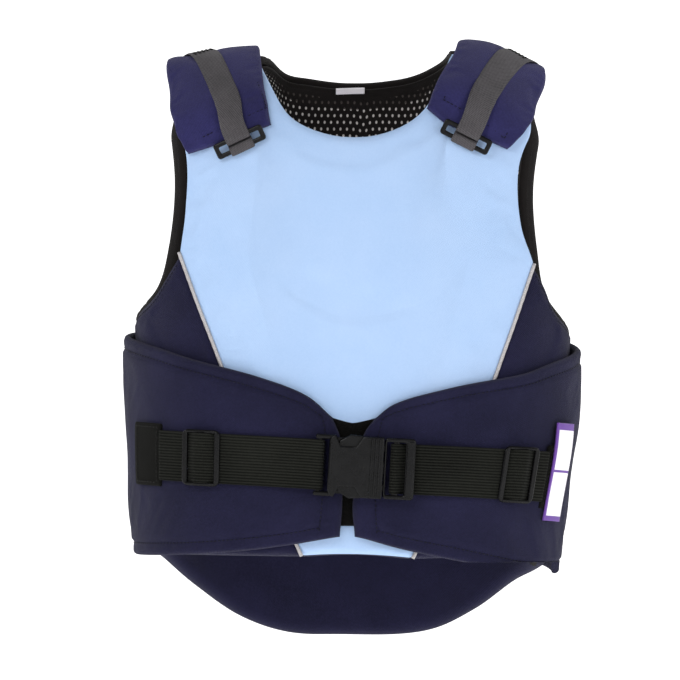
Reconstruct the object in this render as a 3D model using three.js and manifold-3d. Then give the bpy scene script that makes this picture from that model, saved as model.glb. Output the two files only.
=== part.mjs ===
// A child's padded riding vest (body protector) in its worn form, held up at the shoulders.
// Millimetres, +Z up, the front faces -Y, "left" is the viewer's left, towards -X.
// The origin lies on the inside of the shoulder ridge, midway between the two shoulders.

import * as THREE from 'three';
import { mergeVertices } from 'three/addons/utils/BufferGeometryUtils.js';
import Module from 'manifold-3d';

const solids = await Module();
solids.setup();

// Body
const bodyLength = 455; // shoulder ridge to the tip of the tail
const halfWidth = 180; // centre line to the outside of the waist wing
const chestReach = 78; // centre plane to the inside of the chest
const backReach = 70; // centre plane to the inside of the back
const shoulderFall = 25; // how far the ridge drops from the neck to the arm
const panelThickness = 20; // foam panels with their cover
const shoulderThickness = 10; // the same panels where they cross the ridge
const liningThickness = 1.6;
const liningRoom = 1.4; // between the lining and the back panel
const pipingDiameter = 3;
const frontBelowRidge = 10; // where the front panel ends, in front of the ridge
const backOverRidge = 8; // how far the back panel runs on in front of the ridge
const sideSeamTurn = 90; // degrees round from the front where front and back panels meet
const tailWave = 3.5; // height of the soft folds in the tail
const rimWidth = 7; // width of the rounded rim round every padded panel

// Waist wings and fastening patch
const wingThickness = 6.5;
const wingFlare = 2; // how far the wing's top edge stands off at the side
const wingRearTurn = 125; // degrees round from the front where the wings are sewn to the back
const wingRoom = 0.9; // how far the wings stand off the sides
const patchWidth = 84;
const patchThickness = 1.6;

// Shoulder flaps, straps and rings
const flapThickness = 8;
const flapOverRidge = 60;
const shoulderWebbing = 20;
const strapOverRidge = 14;
const strapReturn = 34; // length of the strap's end folded back under it
const ringWidth = 42;
const ringHeight = 13;
const ringBar = 3.8;
const ringThickness = 3;
const ringRoom = 0.6; // room for the flat ring on the curved chest
const ringLift = 1.4; // how far the ring's lower edge stands off the chest
const ringBelowHem = 3.6; // middle of the ring below the flap's hem
const ringTurn = { left: 8, right: -5 }; // degrees by which the rings are turned on the straps

// Waist belt
const waistWebbing = 40;
const webbingThickness = 1.5;
const beltTilt = 3.1; // degrees, down towards the right
const beltRoom = 1.1; // how far the belt's first layer stands off the wings' curved face
const endPatchLength = 30;
const endPatchHeight = 50;
const endPatchThickness = 2.4;
const sliderLength = 31;
const sliderHeight = 45;
const sliderBar = 4.2;
const sliderRail = 2.2;
const sliderThickness = 2.5;
const buckleLength = 80;
const buckleHeight = 49;
const buckleThickness = 12;
const buckleHorn = 11; // the two horns that carry the socket's strap bar
const buckleHornWidth = 4.2;
const socketBarWidth = 4;
const socketBarThickness = 3;
const windowLength = 22; // the openings at the socket's sides that show the prongs' grips
const windowDepth = 8.5;
const windowFromPlug = 16; // from a window to the socket's open end
const prongRoom = { width: 38, height: 4.8, depth: 39 }; // the hollow in the socket
const prongFrame = 25; // length of the plug's strap frame
const prongFrameThickness = 5;
const prongFrameRail = 3.4;
const prongWidth = 5.6;
const prongGrip = 6.5; // how far the prongs' grips stand out beyond the prongs
const guideWidth = 10;
const guideLength = 26;
const plugBarWidth = 5;
const plugBarThickness = 3;
const plugSlot = 5;
const plugEnd = 8; // the solid bar at the plug's end

// Labels
const sideLabelWidth = 22;
const sideLabelHeight = 78;
const sideLabelRise = 4.4; // middle of the side label above the belt's middle
const neckLabelWidth = 23;
const neckLabelHeight = 6;
const labelThickness = 1;
const labelOverPatch = 4; // how far in the side label starts on the end patch

// Clearances
const seamGap = 0.8; // between panels that lie side by side
const layerGap = 0.6; // between soft layers that lie on each other
const webbingGap = 0.4; // round webbing and plastic
const plugGap = 0.4; // between the two halves of the buckle

// Where a row gives "across" and "down", they are shares of halfWidth and bodyLength seen from the
// front. "over" is a distance behind the ridge in mm, and "turn" is degrees round from the front.
const chestHem = [
  { across: -0.222, down: 0.865 },
  { across: 0, down: 0.862 },
  { across: 0.258, down: 0.869 },
];
const seamLeft = [
  { across: -0.222, down: 0.865 },
  { across: -0.4, down: 0.702 },
  { across: -0.576, down: 0.53 },
  { across: -0.68, down: 0.421 },
  { across: -0.764, down: 0.329 },
];
const seamRight = [
  { across: 0.258, down: 0.869 },
  { across: 0.431, down: 0.727 },
  { across: 0.616, down: 0.556 },
  { across: 0.711, down: 0.449 },
  { across: 0.796, down: 0.349 },
];
const frontArmholeLeft = [
  { across: -0.764, down: 0.329 },
  { across: -0.74, down: 0.259 },
  { across: -0.738, down: 0.159 },
  { across: -0.762, down: 0.054 },
  { across: -0.772, over: -frontBelowRidge },
];
const frontArmholeRight = [
  { across: 0.796, down: 0.349 },
  { across: 0.742, down: 0.284 },
  { across: 0.734, down: 0.178 },
  { across: 0.782, down: 0.07 },
  { across: 0.795, over: -frontBelowRidge },
];
const frontNeck = [
  { across: -0.42, over: -frontBelowRidge },
  { across: -0.4, down: 0.005 },
  { across: -0.351, down: 0.048 },
  { across: -0.28, down: 0.092 },
  { across: -0.18, down: 0.116 },
  { across: 0.007, down: 0.13 },
  { across: 0.18, down: 0.117 },
  { across: 0.302, down: 0.086 },
  { across: 0.391, down: 0.027 },
  { across: 0.44, over: -frontBelowRidge },
];
const sideTopLeft = [
  { across: -0.764, down: 0.329 },
  { across: -0.818, down: 0.365 },
  { across: -0.88, down: 0.405 },
  { turn: -sideSeamTurn, down: 0.447 },
];
const sideTopRight = [
  { across: 0.796, down: 0.349 },
  { across: 0.845, down: 0.386 },
  { across: 0.89, down: 0.43 },
  { turn: sideSeamTurn, down: 0.468 },
];
const sideHem = 0.859; // share of bodyLength at the side seams
const backArmholeLeft = [
  { turn: -sideSeamTurn, down: 0.447 },
  { across: -0.86, down: 0.39 },
  { across: -0.815, down: 0.32 },
  { across: -0.791, down: 0.212 },
  { across: -0.8, down: 0.098 },
  { across: -0.815, over: -backOverRidge },
];
const backArmholeRight = [
  { turn: sideSeamTurn, down: 0.468 },
  { across: 0.846, down: 0.4 },
  { across: 0.811, down: 0.321 },
  { across: 0.796, down: 0.221 },
  { across: 0.818, down: 0.11 },
  { across: 0.84, over: -backOverRidge },
];
const backNeck = [
  { across: -0.41, over: -backOverRidge },
  { across: -0.369, down: -0.0026 },
  { across: -0.295, down: 0.0222 },
  { across: -0.191, down: 0.0308 },
  { across: 0, down: 0.0385 },
  { across: 0.16, down: 0.0345 },
  { across: 0.256, down: 0.0273 },
  { across: 0.33, down: 0.0155 },
  { across: 0.4, down: -0.0026 },
  { across: 0.4356, over: -backOverRidge },
];
const tail = [
  { turn: -sideSeamTurn, down: sideHem },
  { across: -0.87, down: 0.866 },
  { across: -0.708, down: 0.919 },
  { across: -0.5, down: 0.972 },
  { across: -0.28, down: 0.996 },
  { across: 0.05, down: 1 },
  { across: 0.33, down: 0.993 },
  { across: 0.55, down: 0.956 },
  { across: 0.727, down: 0.906 },
  { across: 0.88, down: 0.868 },
  { turn: sideSeamTurn, down: sideHem },
];
const tailFolds = [
  { across: -0.8, height: 0 },
  { across: -0.58, height: 1 },
  { across: -0.36, height: -0.6 },
  { across: -0.08, height: 0.8 },
  { across: 0.12, height: -0.5 },
  { across: 0.3, height: 1 },
  { across: 0.52, height: -0.6 },
  { across: 0.8, height: 0 },
];
const liningHem = 0.83; // share of bodyLength where the inner lining ends

const wings = {
  left: {
    top: [
      { across: -0.093, down: 0.62 },
      { across: -0.204, down: 0.583 },
      { across: -0.427, down: 0.549 },
      { across: -0.773, down: 0.513 },
      { across: -0.89, down: 0.498 },
      { turn: -88, down: 0.477 },
      { turn: -wingRearTurn, down: 0.465 },
    ],
    hem: [
      { across: -0.06, down: 0.829 },
      { across: -0.277, down: 0.843 },
      { across: -0.502, down: 0.854 },
      { across: -0.8, down: 0.861 },
      { turn: -88, down: 0.861 },
      { turn: -wingRearTurn, down: 0.855 },
    ],
    end: [
      { across: -0.06, down: 0.829 },
      { across: -0.048, down: 0.766 },
      { across: -0.054, down: 0.66 },
      { across: -0.093, down: 0.62 },
    ],
  },
  right: {
    top: [
      { across: 0.098, down: 0.622 },
      { across: 0.185, down: 0.597 },
      { across: 0.458, down: 0.567 },
      { across: 0.79, down: 0.542 },
      { across: 0.905, down: 0.525 },
      { turn: 88, down: 0.502 },
      { turn: wingRearTurn, down: 0.476 },
    ],
    hem: [
      { across: 0.007, down: 0.829 },
      { across: 0.2, down: 0.849 },
      { across: 0.493, down: 0.873 },
      { across: 0.8, down: 0.898 },
      { turn: 88, down: 0.896 },
      { turn: wingRearTurn, down: 0.87 },
    ],
    end: [
      { across: 0.007, down: 0.829 },
      { across: -0.001, down: 0.766 },
      { across: 0.048, down: 0.65 },
      { across: 0.098, down: 0.622 },
    ],
  },
};
const patchTop = [
  { across: -1, down: 0.6 },
  { across: 0, down: 0.63 },
  { across: 1, down: 0.605 },
];
const patchHem = 0.81;

const flaps = {
  left: {
    hem: [
      { across: -0.729, down: 0.158 },
      { across: -0.615, down: 0.143 },
      { across: -0.462, down: 0.121 },
      { across: -0.364, down: 0.107 },
    ],
    outer: [
      { across: -0.729, down: 0.158 },
      { across: -0.785, down: 0.112 },
      { across: -0.813, down: 0.068 },
      { across: -0.828, down: 0.015 },
      { across: -0.8, over: flapOverRidge },
    ],
    inner: [
      { across: -0.364, down: 0.107 },
      { across: -0.378, down: 0.074 },
      { across: -0.396, down: 0.036 },
      { across: -0.408, down: -0.004 },
      { across: -0.42, over: flapOverRidge },
    ],
  },
  right: {
    hem: [
      { across: 0.684, down: 0.15 },
      { across: 0.572, down: 0.13 },
      { across: 0.42, down: 0.106 },
      { across: 0.327, down: 0.078 },
    ],
    outer: [
      { across: 0.684, down: 0.15 },
      { across: 0.733, down: 0.117 },
      { across: 0.78, down: 0.085 },
      { across: 0.856, down: 0.03 },
      { across: 0.8, over: flapOverRidge },
    ],
    inner: [
      { across: 0.327, down: 0.078 },
      { across: 0.351, down: 0.052 },
      { across: 0.402, down: 0.011 },
      { across: 0.45, down: -0.02 },
      { across: 0.47, over: flapOverRidge },
    ],
  },
};
const shoulderStraps = {
  left: { ring: { across: -0.499, down: 0.138 }, top: { across: -0.656, down: -0.014 } },
  right: { ring: { across: 0.502, down: 0.129 }, top: { across: 0.71, down: -0.01 } },
};
const beltCentre = { across: 0.051, down: 0.706 };
const beltStations = {
  left: { slider: -0.655, patch: -0.85 },
  right: { slider: 0.72, patch: 0.853 },
};
const neckLabelCentre = { across: -0.012 };

// Torso surface: a line of sections hung on one line down the back, over the ridge and down the
// front. "reach" is a share of chestReach or backReach, "left" and "right" of the inner half width.
const backLine = [
  { down: 1, reach: 1.03 },
  { down: 0.866, reach: 0.95 },
  { down: 0.66, reach: 0.92 },
  { down: 0.484, reach: 0.99 },
  { down: 0.286, reach: 1 },
  { down: 0.13, reach: 0.86 },
  { down: 0.045, reach: 0.65 },
  { down: 0.012, reach: 0.36 },
];
const frontLine = [
  { down: 0.013, reach: 0.28 },
  { down: 0.05, reach: 0.51 },
  { down: 0.132, reach: 0.73 },
  { down: 0.33, reach: 0.93 },
  { down: 0.505, reach: 1 },
  { down: 0.66, reach: 0.98 },
  { down: 0.87, reach: 0.9 },
];
const sections = [
  { down: -0.05, left: 1.21, right: 1.21 },
  { down: 0.13, left: 1.145, right: 1.145 },
  { down: 0.33, left: 1.05, right: 1.05 },
  { down: 0.475, left: 1.007, right: 1.007 },
  { down: 0.66, left: 1.01, right: 0.992 },
  { down: 0.86, left: 0.968, right: 0.905 },
  { down: 1.02, left: 0.935, right: 0.89 },
];
const ridgeFall = [
  { across: 0, left: 0, right: 0 },
  { across: 0.4, left: 0.12, right: -0.04 },
  { across: 0.6, left: 0.3, right: 0.08 },
  { across: 0.83, left: 0.62, right: 0.8 },
  { across: 1, left: 0.9, right: 1.3 },
];
const sectionPower = 2.4; // 2 is an ellipse, more is squarer
const fallFade = 0.33; // share of bodyLength over which the shoulder's fall fades out
const sideSpread = 0.11; // share of bodyLength over which panels start to widen the section
const thinZone = { start: 25, end: 75 }; // distance from the ridge over which the panels thicken

const innerHalfWidth = halfWidth - panelThickness - layerGap - wingThickness;
const degree = Math.PI / 180;
const { clamp, smoothstep, lerp } = THREE.MathUtils;

// A smooth curve through a table's rows, as a function of its "at" column.
function profile(rows, at, value) {
  const x = rows.map((row) => row[at]);
  const y = rows.map((row) => row[value]);
  const slope = x.map((_, i) => {
    const before = Math.max(i - 1, 0);
    const after = Math.min(i + 1, x.length - 1);
    return (y[after] - y[before]) / (x[after] - x[before]);
  });
  return (t) => {
    let i = 0;
    while (i < x.length - 2 && t > x[i + 1]) i += 1;
    const width = x[i + 1] - x[i];
    const s = clamp((t - x[i]) / width, 0, 1);
    const rise = s * s * (3 - 2 * s);
    const bend = s * (1 - s) * width * (slope[i] * (1 - s) - slope[i + 1] * s);
    return y[i] + (y[i + 1] - y[i]) * rise + bend;
  };
}

const sectionLeft = profile(sections, 'down', 'left');
const sectionRight = profile(sections, 'down', 'right');
const fallLeft = profile(ridgeFall, 'across', 'left');
const fallRight = profile(ridgeFall, 'across', 'right');
const foldHeight = profile(tailFolds, 'across', 'height');

// The line down the back, over the ridge and down the front, read off at equal steps.
const bodyLine = (() => {
  const at = (reach, down) => new THREE.Vector3(0, reach, -down * bodyLength);
  const points = [
    ...backLine.map((row) => at(row.reach * backReach, row.down)),
    at(0, 0),
    ...frontLine.map((row) => at(-row.reach * chestReach, row.down)),
  ];
  const curve = new THREE.CatmullRomCurve3(points, false, 'centripetal');
  curve.arcLengthDivisions = 1200;
  const steps = 900;
  const length = curve.getLength();
  const samples = [];
  for (let i = 0; i <= steps; i += 1) {
    const point = curve.getPointAt(i / steps);
    const tangent = curve.getTangentAt(i / steps);
    samples.push({ y: point.y, z: point.z, normalY: tangent.z, normalZ: -tangent.y });
  }
  const top = samples.reduce((best, s, i) => (s.z > samples[best].z ? i : best), 0);
  const read = (station) => {
    const place = clamp(station / length, 0, 1) * steps;
    const i = Math.min(Math.floor(place), steps - 1);
    const a = samples[i];
    const b = samples[i + 1];
    const t = place - i;
    return {
      y: lerp(a.y, b.y, t),
      z: lerp(a.z, b.z, t),
      normalY: lerp(a.normalY, b.normalY, t),
      normalZ: lerp(a.normalZ, b.normalZ, t),
    };
  };
  return { length, ridge: (top / steps) * length, read };
})();

function fallAt(x, z) {
  const across = Math.abs(x) / halfWidth;
  const share = x < 0 ? fallLeft(across) : fallRight(across);
  return shoulderFall * share * (1 - smoothstep(-z, 0, fallFade * bodyLength));
}

// Half width of the section at height z, at a distance "out" from the inside, on the side that the
// sign of "side" names: below 0 is left.
function halfAt(z, out, side) {
  const spread = smoothstep(-z, 0, sideSpread * bodyLength);
  const share = side < 0 ? sectionLeft(-z / bodyLength) : sectionRight(-z / bodyLength);
  return innerHalfWidth * share + out * spread;
}

// The point at a turn (radians from the centre line) and a station of the body line (mm).
function torsoPoint(turn, station, out) {
  const line = bodyLine.read(station);
  const z = line.z + out * line.normalZ;
  const sine = Math.sin(turn);
  const cosine = Math.cos(turn);
  const x = halfAt(z, out, sine) * Math.sign(sine) * Math.abs(sine) ** (2 / sectionPower);
  const y = (line.y + out * line.normalY) * Math.sign(cosine) * Math.abs(cosine) ** (2 / sectionPower);
  return new THREE.Vector3(x, y, z - fallAt(x, z));
}

function turnAt(x, z, out) {
  const share = Math.min(Math.abs(x) / halfAt(z, out, x), 1);
  return Math.sign(x) * Math.asin(share ** (sectionPower / 2));
}

function heightAt(x, station, out) {
  const line = bodyLine.read(station);
  const z = line.z + out * line.normalZ;
  return { z, seen: z - fallAt(x, z) };
}

// The station between the ridge and one end of the body line where a layer is at height z.
function stationAt(x, z, out, end) {
  let near = bodyLine.ridge;
  let far = end;
  for (let i = 0; i < 40; i += 1) {
    const middle = (near + far) / 2;
    if (heightAt(x, middle, out).seen > z) near = middle;
    else far = middle;
  }
  return (near + far) / 2;
}

// Turns a table row into the turn and station of the point it names.
function spot(row, out, end) {
  if (row.turn !== undefined) {
    const fromCentre = end === 0 ? Math.sign(row.turn) * (180 - Math.abs(row.turn)) : row.turn;
    return [fromCentre * degree, stationAt(0, -row.down * bodyLength, out, end)];
  }
  const x = row.across * halfWidth;
  const station =
    row.over === undefined
      ? stationAt(x, -row.down * bodyLength, out, end)
      : bodyLine.ridge - row.over;
  return [turnAt(x, heightAt(x, station, out).z, out), station];
}
const frontSpots = (rows, out) => rows.map((row) => spot(row, out, bodyLine.length));
const backSpots = (rows, out) => rows.map((row) => spot(row, out, 0));

// The point on the torso at a place across (mm) and a station.
function facePoint(x, station, out) {
  return torsoPoint(turnAt(x, heightAt(x, station, out).z, out), station, out);
}

// The point at a turn right round the body (0 front, 180 back) and a height.
function ringPoint(turn, level, out) {
  const front = Math.abs(turn) <= Math.PI / 2;
  const fromCentre = front ? turn : Math.sign(turn) * (Math.PI - Math.abs(turn));
  const station = stationAt(0, level, out, front ? bodyLine.length : 0);
  return torsoPoint(fromCentre, station, out);
}
function ringSpots(rows, out) {
  return rows.map((row) => {
    const level = -row.down * bodyLength;
    const turn = row.turn === undefined ? turnAt(row.across * halfWidth, level, out) : row.turn * degree;
    return [turn, level];
  });
}

// One side of a panel: smooth runs of points that meet at crisp corners.
function edge(...runs) {
  const path = new THREE.CurvePath();
  for (const run of runs) {
    const points = run.map(([turn, station]) => new THREE.Vector3(turn * halfWidth, station, 0));
    path.add(new THREE.CatmullRomCurve3(points, false, 'centripetal'));
  }
  const lengths = path.getCurveLengths();
  const total = lengths[lengths.length - 1];
  return {
    at: (t) => {
      const point = path.getPoint(clamp(t, 0, 1));
      return [point.x / halfWidth, point.y];
    },
    corners: lengths.slice(0, -1).map((length) => length / total),
  };
}

// Grid lines from 0 to 1 with a narrow first and last cell and a line on every corner. A crowding
// over 1 draws the lines together towards 1.
function gridLines(count, inset, corners, crowding = 1) {
  const lines = [0];
  for (let i = 0; i <= count; i += 1) {
    const share = 1 - (1 - i / count) ** crowding;
    lines.push(inset + (1 - 2 * inset) * share);
  }
  lines.push(1);
  for (const corner of corners) {
    let nearest = 1;
    lines.forEach((line, i) => {
      const inside = i > 0 && i < lines.length - 1;
      if (inside && Math.abs(line - corner) < Math.abs(lines[nearest] - corner)) nearest = i;
    });
    lines[nearest] = corner;
  }
  return lines;
}

// A four-sided patch between its edges, as a function of u (along bottom) and v (up the sides).
function patch({ bottom, top, left, right }, { columns, rows, insetU, insetV, crowding }) {
  const corner = [bottom.at(0), bottom.at(1), top.at(0), top.at(1)];
  const at = (u, v) => {
    const b = bottom.at(u);
    const t = top.at(u);
    const l = left.at(v);
    const r = right.at(v);
    return [0, 1].map((k) => {
      const flat =
        (1 - v) * ((1 - u) * corner[0][k] + u * corner[1][k]) +
        v * ((1 - u) * corner[2][k] + u * corner[3][k]);
      return (1 - v) * b[k] + v * t[k] + (1 - u) * l[k] + u * r[k] - flat;
    });
  };
  const us = gridLines(columns, insetU, [...bottom.corners, ...top.corners]);
  const vs = gridLines(rows, insetV, [...left.corners, ...right.corners], crowding);
  return { at, us, vs };
}

// Builds a closed geometry, with its faces turned outwards.
function closed(positions, index) {
  const geometry = new THREE.BufferGeometry();
  geometry.setAttribute('position', new THREE.Float32BufferAttribute(positions, 3));
  const corner = (i) => new THREE.Vector3(...positions.slice(3 * i, 3 * i + 3));
  let volume = 0;
  for (let i = 0; i < index.length; i += 3) {
    volume += corner(index[i]).dot(corner(index[i + 1]).cross(corner(index[i + 2])));
  }
  geometry.setIndex(volume < 0 ? [...index].reverse() : index);
  geometry.computeVertexNormals();
  return geometry;
}

// A closed solid between two faces that are sampled on the same grid.
function gridSolid(us, vs, low, high) {
  const positions = [];
  for (const face of [low, high]) {
    for (const v of vs) for (const u of us) positions.push(...face(u, v).toArray());
  }
  const across = us.length;
  const up = vs.length;
  const at = (side, i, j) => (side * up + j) * across + i;
  const index = [];
  const quad = (a, b, c, d) => index.push(a, b, c, a, c, d);
  for (let j = 0; j < up - 1; j += 1) {
    for (let i = 0; i < across - 1; i += 1) {
      quad(at(1, i, j), at(1, i + 1, j), at(1, i + 1, j + 1), at(1, i, j + 1));
      quad(at(0, i, j), at(0, i, j + 1), at(0, i + 1, j + 1), at(0, i + 1, j));
    }
    quad(at(0, 0, j), at(1, 0, j), at(1, 0, j + 1), at(0, 0, j + 1));
    const end = across - 1;
    quad(at(0, end, j), at(0, end, j + 1), at(1, end, j + 1), at(1, end, j));
  }
  for (let i = 0; i < across - 1; i += 1) {
    quad(at(0, i, 0), at(0, i + 1, 0), at(1, i + 1, 0), at(1, i, 0));
    quad(at(0, i, up - 1), at(1, i, up - 1), at(1, i + 1, up - 1), at(0, i + 1, up - 1));
  }
  return closed(positions, index);
}

// Where a panel's rim starts and ends, as shares of its thickness.
const softRim = { low: 0.12, high: 0.62 };
const seamRim = { low: 0.12, high: 0.85 };
const seamFace = panelThickness * seamRim.high; // outer edge of a seam

// A padded panel on a patch: it keeps its thickness up to the last grid line before each edge, and
// closes to a rounded rim there.
function paddedPanel(panel, surface, base, thickness, rims) {
  const share = (u, v, side) => {
    if (v === 0 || v === 1) return softRim[side];
    if (u === 0 || u === 1) return rims[side];
    return side === 'low' ? 0 : 1;
  };
  const face = (side) => (u, v) => {
    const [turn, along] = panel.at(u, v);
    return surface(turn, along, base(turn, along) + thickness(turn, along) * share(u, v, side));
  };
  return gridSolid(panel.us, panel.vs, face('low'), face('high'));
}

// Thickness of the main panels, thinner over the ridge.
function panelAt(station) {
  const distance = Math.abs(station - bodyLine.ridge);
  return lerp(shoulderThickness, panelThickness, smoothstep(distance, thinZone.start, thinZone.end));
}

const thinInset = 0.05; // rim of the thinner pieces, as a share of their length

// Moves an edge's points sideways, to leave half of a seam's gap.
const shifted = (spots, by) => spots.map(([turn, along]) => [turn + by / halfWidth, along]);

const halfSeam = seamGap / 2;
const lastOf = (list) => list[list.length - 1];

function frontPanel() {
  const out = seamFace;
  const shoulder = (rows) => frontSpots(rows, shoulderThickness);
  const seamL = shifted(frontSpots(seamLeft, out), halfSeam);
  const seamR = shifted(frontSpots(seamRight, out), -halfSeam);
  const armL = [lastOf(seamL), ...frontSpots(frontArmholeLeft, out).slice(1)];
  const armR = [lastOf(seamR), ...frontSpots(frontArmholeRight, out).slice(1)];
  const neck = shoulder(frontNeck);
  const hem = [seamL[0], frontSpots(chestHem, out)[1], seamR[0]];
  const panel = patch(
    {
      bottom: edge(hem),
      top: edge([lastOf(armL), neck[0]], neck, [lastOf(neck), lastOf(armR)]),
      left: edge(seamL, armL),
      right: edge(seamR, armR),
    },
    {
      columns: 20,
      rows: 13,
      insetU: rimWidth / (1.5 * halfWidth),
      insetV: rimWidth / bodyLength,
      crowding: 1.5,
    },
  );
  return paddedPanel(panel, torsoPoint, () => 0, (turn, station) => panelAt(station), seamRim);
}

function frontSide(side) {
  const left = side === 'left';
  const sign = left ? -1 : 1;
  const out = seamFace;
  const seam = shifted(frontSpots(left ? seamLeft : seamRight, out), sign * halfSeam);
  const top = frontSpots(left ? sideTopLeft : sideTopRight, out);
  top[0] = lastOf(seam);
  const bottomRear = frontSpots([{ turn: sign * sideSeamTurn, down: sideHem }], out)[0];
  const panel = patch(
    {
      bottom: edge([seam[0], bottomRear]),
      top: edge(top),
      left: edge(seam),
      right: edge([bottomRear, lastOf(top)]),
    },
    { columns: 8, rows: 8, insetU: rimWidth / halfWidth, insetV: (2 * rimWidth) / bodyLength },
  );
  return paddedPanel(panel, torsoPoint, () => 0, () => panelThickness, seamRim);
}

// A soft cord in the seam between the front panel and a side panel.
function piping(side) {
  const rows = side === 'left' ? seamLeft : seamRight;
  const radius = pipingDiameter / 2;
  const seat = 1.15 * (radius + webbingGap); // the cord is drawn in chords, so it lies a little higher
  const seam = edge(frontSpots(rows, seamFace));
  const ends = { first: 0.01, last: 0.99 };
  const steps = 16;
  const points = Array.from({ length: steps + 1 }, (_, i) => {
    const [turn, station] = seam.at(lerp(ends.first, ends.last, i / steps));
    return torsoPoint(turn, station, seamFace + seat);
  });
  const sides = 6;
  const circle = new THREE.EllipseCurve(0, 0, radius, radius).getPoints(sides);
  const section = new THREE.Shape(circle.slice(0, sides));
  const path = new THREE.CatmullRomCurve3(points, false, 'centripetal');
  return new THREE.ExtrudeGeometry(section, { steps: 18, bevelEnabled: false, extrudePath: path });
}

// The soft folds of the tail, as a distance out from the smooth back.
const tailFoldsFrom = 0.78; // share of bodyLength where the folds begin
function tailFoldAt(turn, station) {
  const line = bodyLine.read(station);
  const across = torsoPoint(turn, station, 0).x / halfWidth;
  const reach = smoothstep(-line.z / bodyLength, tailFoldsFrom, 1);
  return line.y > 0 ? tailWave * reach * foldHeight(across) : 0;
}

const backFace = 0.72 * panelThickness; // where the back's hem and armholes are seen from the front
function backPatch() {
  const [sideLeft, sideRight] = backSpots(
    [{ turn: -sideSeamTurn, down: sideHem }, { turn: sideSeamTurn, down: sideHem }],
    seamFace,
  );
  const out = backFace;
  const armL = shifted(backSpots(backArmholeLeft, out), halfSeam);
  const armR = shifted(backSpots(backArmholeRight, out), -halfSeam);
  armL[0] = shifted(backSpots([backArmholeLeft[0]], seamFace), halfSeam)[0];
  armR[0] = shifted(backSpots([backArmholeRight[0]], seamFace), -halfSeam)[0];
  const neck = backSpots(backNeck, shoulderThickness / 2);
  const hem = backSpots(tail, out);
  const bottomLeft = shifted([sideLeft], halfSeam)[0];
  const bottomRight = shifted([sideRight], -halfSeam)[0];
  hem.splice(0, 1, bottomLeft);
  hem.splice(-1, 1, bottomRight);
  return patch(
    {
      bottom: edge(hem),
      top: edge([lastOf(armL), neck[0]], neck, [lastOf(neck), lastOf(armR)]),
      left: edge([bottomLeft, armL[0]], armL),
      right: edge([bottomRight, armR[0]], armR),
    },
    {
      columns: 20,
      rows: 18,
      insetU: rimWidth / (2 * halfWidth),
      insetV: rimWidth / bodyLength,
      crowding: 1.6,
    },
  );
}

function backPanel() {
  const lined = liningThickness + liningRoom;
  const base = (turn, station) => lined + tailFoldAt(turn, station);
  const thickness = (turn, station) => panelAt(station) - lined;
  return paddedPanel(backPatch(), torsoPoint, base, thickness, seamRim);
}

// The lining has half the panel's columns, and all of them between these places beside the neck.
const neckCorners = { from: 0.3, to: 0.55 }; // shares of halfWidth
function backLining() {
  const panel = backPatch();
  const last = (list, i) => i === list.length - 1;
  const atNeck = (u) => {
    const across = Math.abs(torsoPoint(...panel.at(u, 1), 0).x) / halfWidth;
    return across > neckCorners.from && across < neckCorners.to;
  };
  const everySecond = (u, i, list) =>
    i % 2 === 0 || i === 1 || last(list, i) || last(list, i + 1) || atNeck(u);
  const hem = -liningHem * bodyLength;
  const columns = panel.us.filter(everySecond);
  const rows = panel.vs.filter((v) => bodyLine.read(panel.at(0.5, v)[1]).z > hem);
  const face = (depth) => (u, v) => {
    const [turn, station] = panel.at(u, v);
    return torsoPoint(turn, station, tailFoldAt(turn, station) + depth);
  };
  return gridSolid(columns, rows, face(0), face(liningThickness));
}

// The wings lie on the side panels, and step up onto the fastening patch at the front.
const wingSideBase = panelThickness + wingRoom;
const wingFrontBase = panelThickness + patchThickness + 2 * layerGap;
const frontZone = { start: 0.5, end: 0.95 }; // shares of the inner half width over which they step down
// The flare's turns in degrees, and the heights it rises over as shares of bodyLength.
const flareZone = { start: 55, peak: 88, end: 115, foot: -0.62, head: -0.48 };
function wingBase(turn, level) {
  if (Math.abs(turn) >= Math.PI / 2) return wingSideBase;
  const across = Math.abs(ringPoint(turn, level, 0).x) / innerHalfWidth;
  return lerp(wingFrontBase, wingSideBase, smoothstep(across, frontZone.start, frontZone.end));
}

function wing(side) {
  const { top, hem, end } = wings[side];
  const sign = side === 'left' ? -1 : 1;
  const out = wingFrontBase + wingThickness;
  const topSpots = ringSpots(top, out);
  const hemSpots = ringSpots(hem, out);
  const endSpots = ringSpots(end, out);
  const panel = patch(
    {
      bottom: edge(hemSpots),
      top: edge(topSpots),
      left: edge(endSpots),
      right: edge([lastOf(hemSpots), lastOf(topSpots)]),
    },
    { columns: 22, rows: 5, insetU: rimWidth / (1.5 * halfWidth), insetV: thinInset },
  );
  const flare = (turn, level) => {
    const round = (sign * turn) / degree;
    const rise = smoothstep(round, flareZone.start, flareZone.peak);
    const fade = 1 - smoothstep(round, flareZone.peak, flareZone.end);
    const height = smoothstep(level / bodyLength, flareZone.foot, flareZone.head);
    return wingFlare * rise * fade * height;
  };
  const base = (turn, level) => wingBase(turn, level) + flare(turn, level);
  return paddedPanel(panel, ringPoint, base, () => wingThickness, softRim);
}

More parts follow.
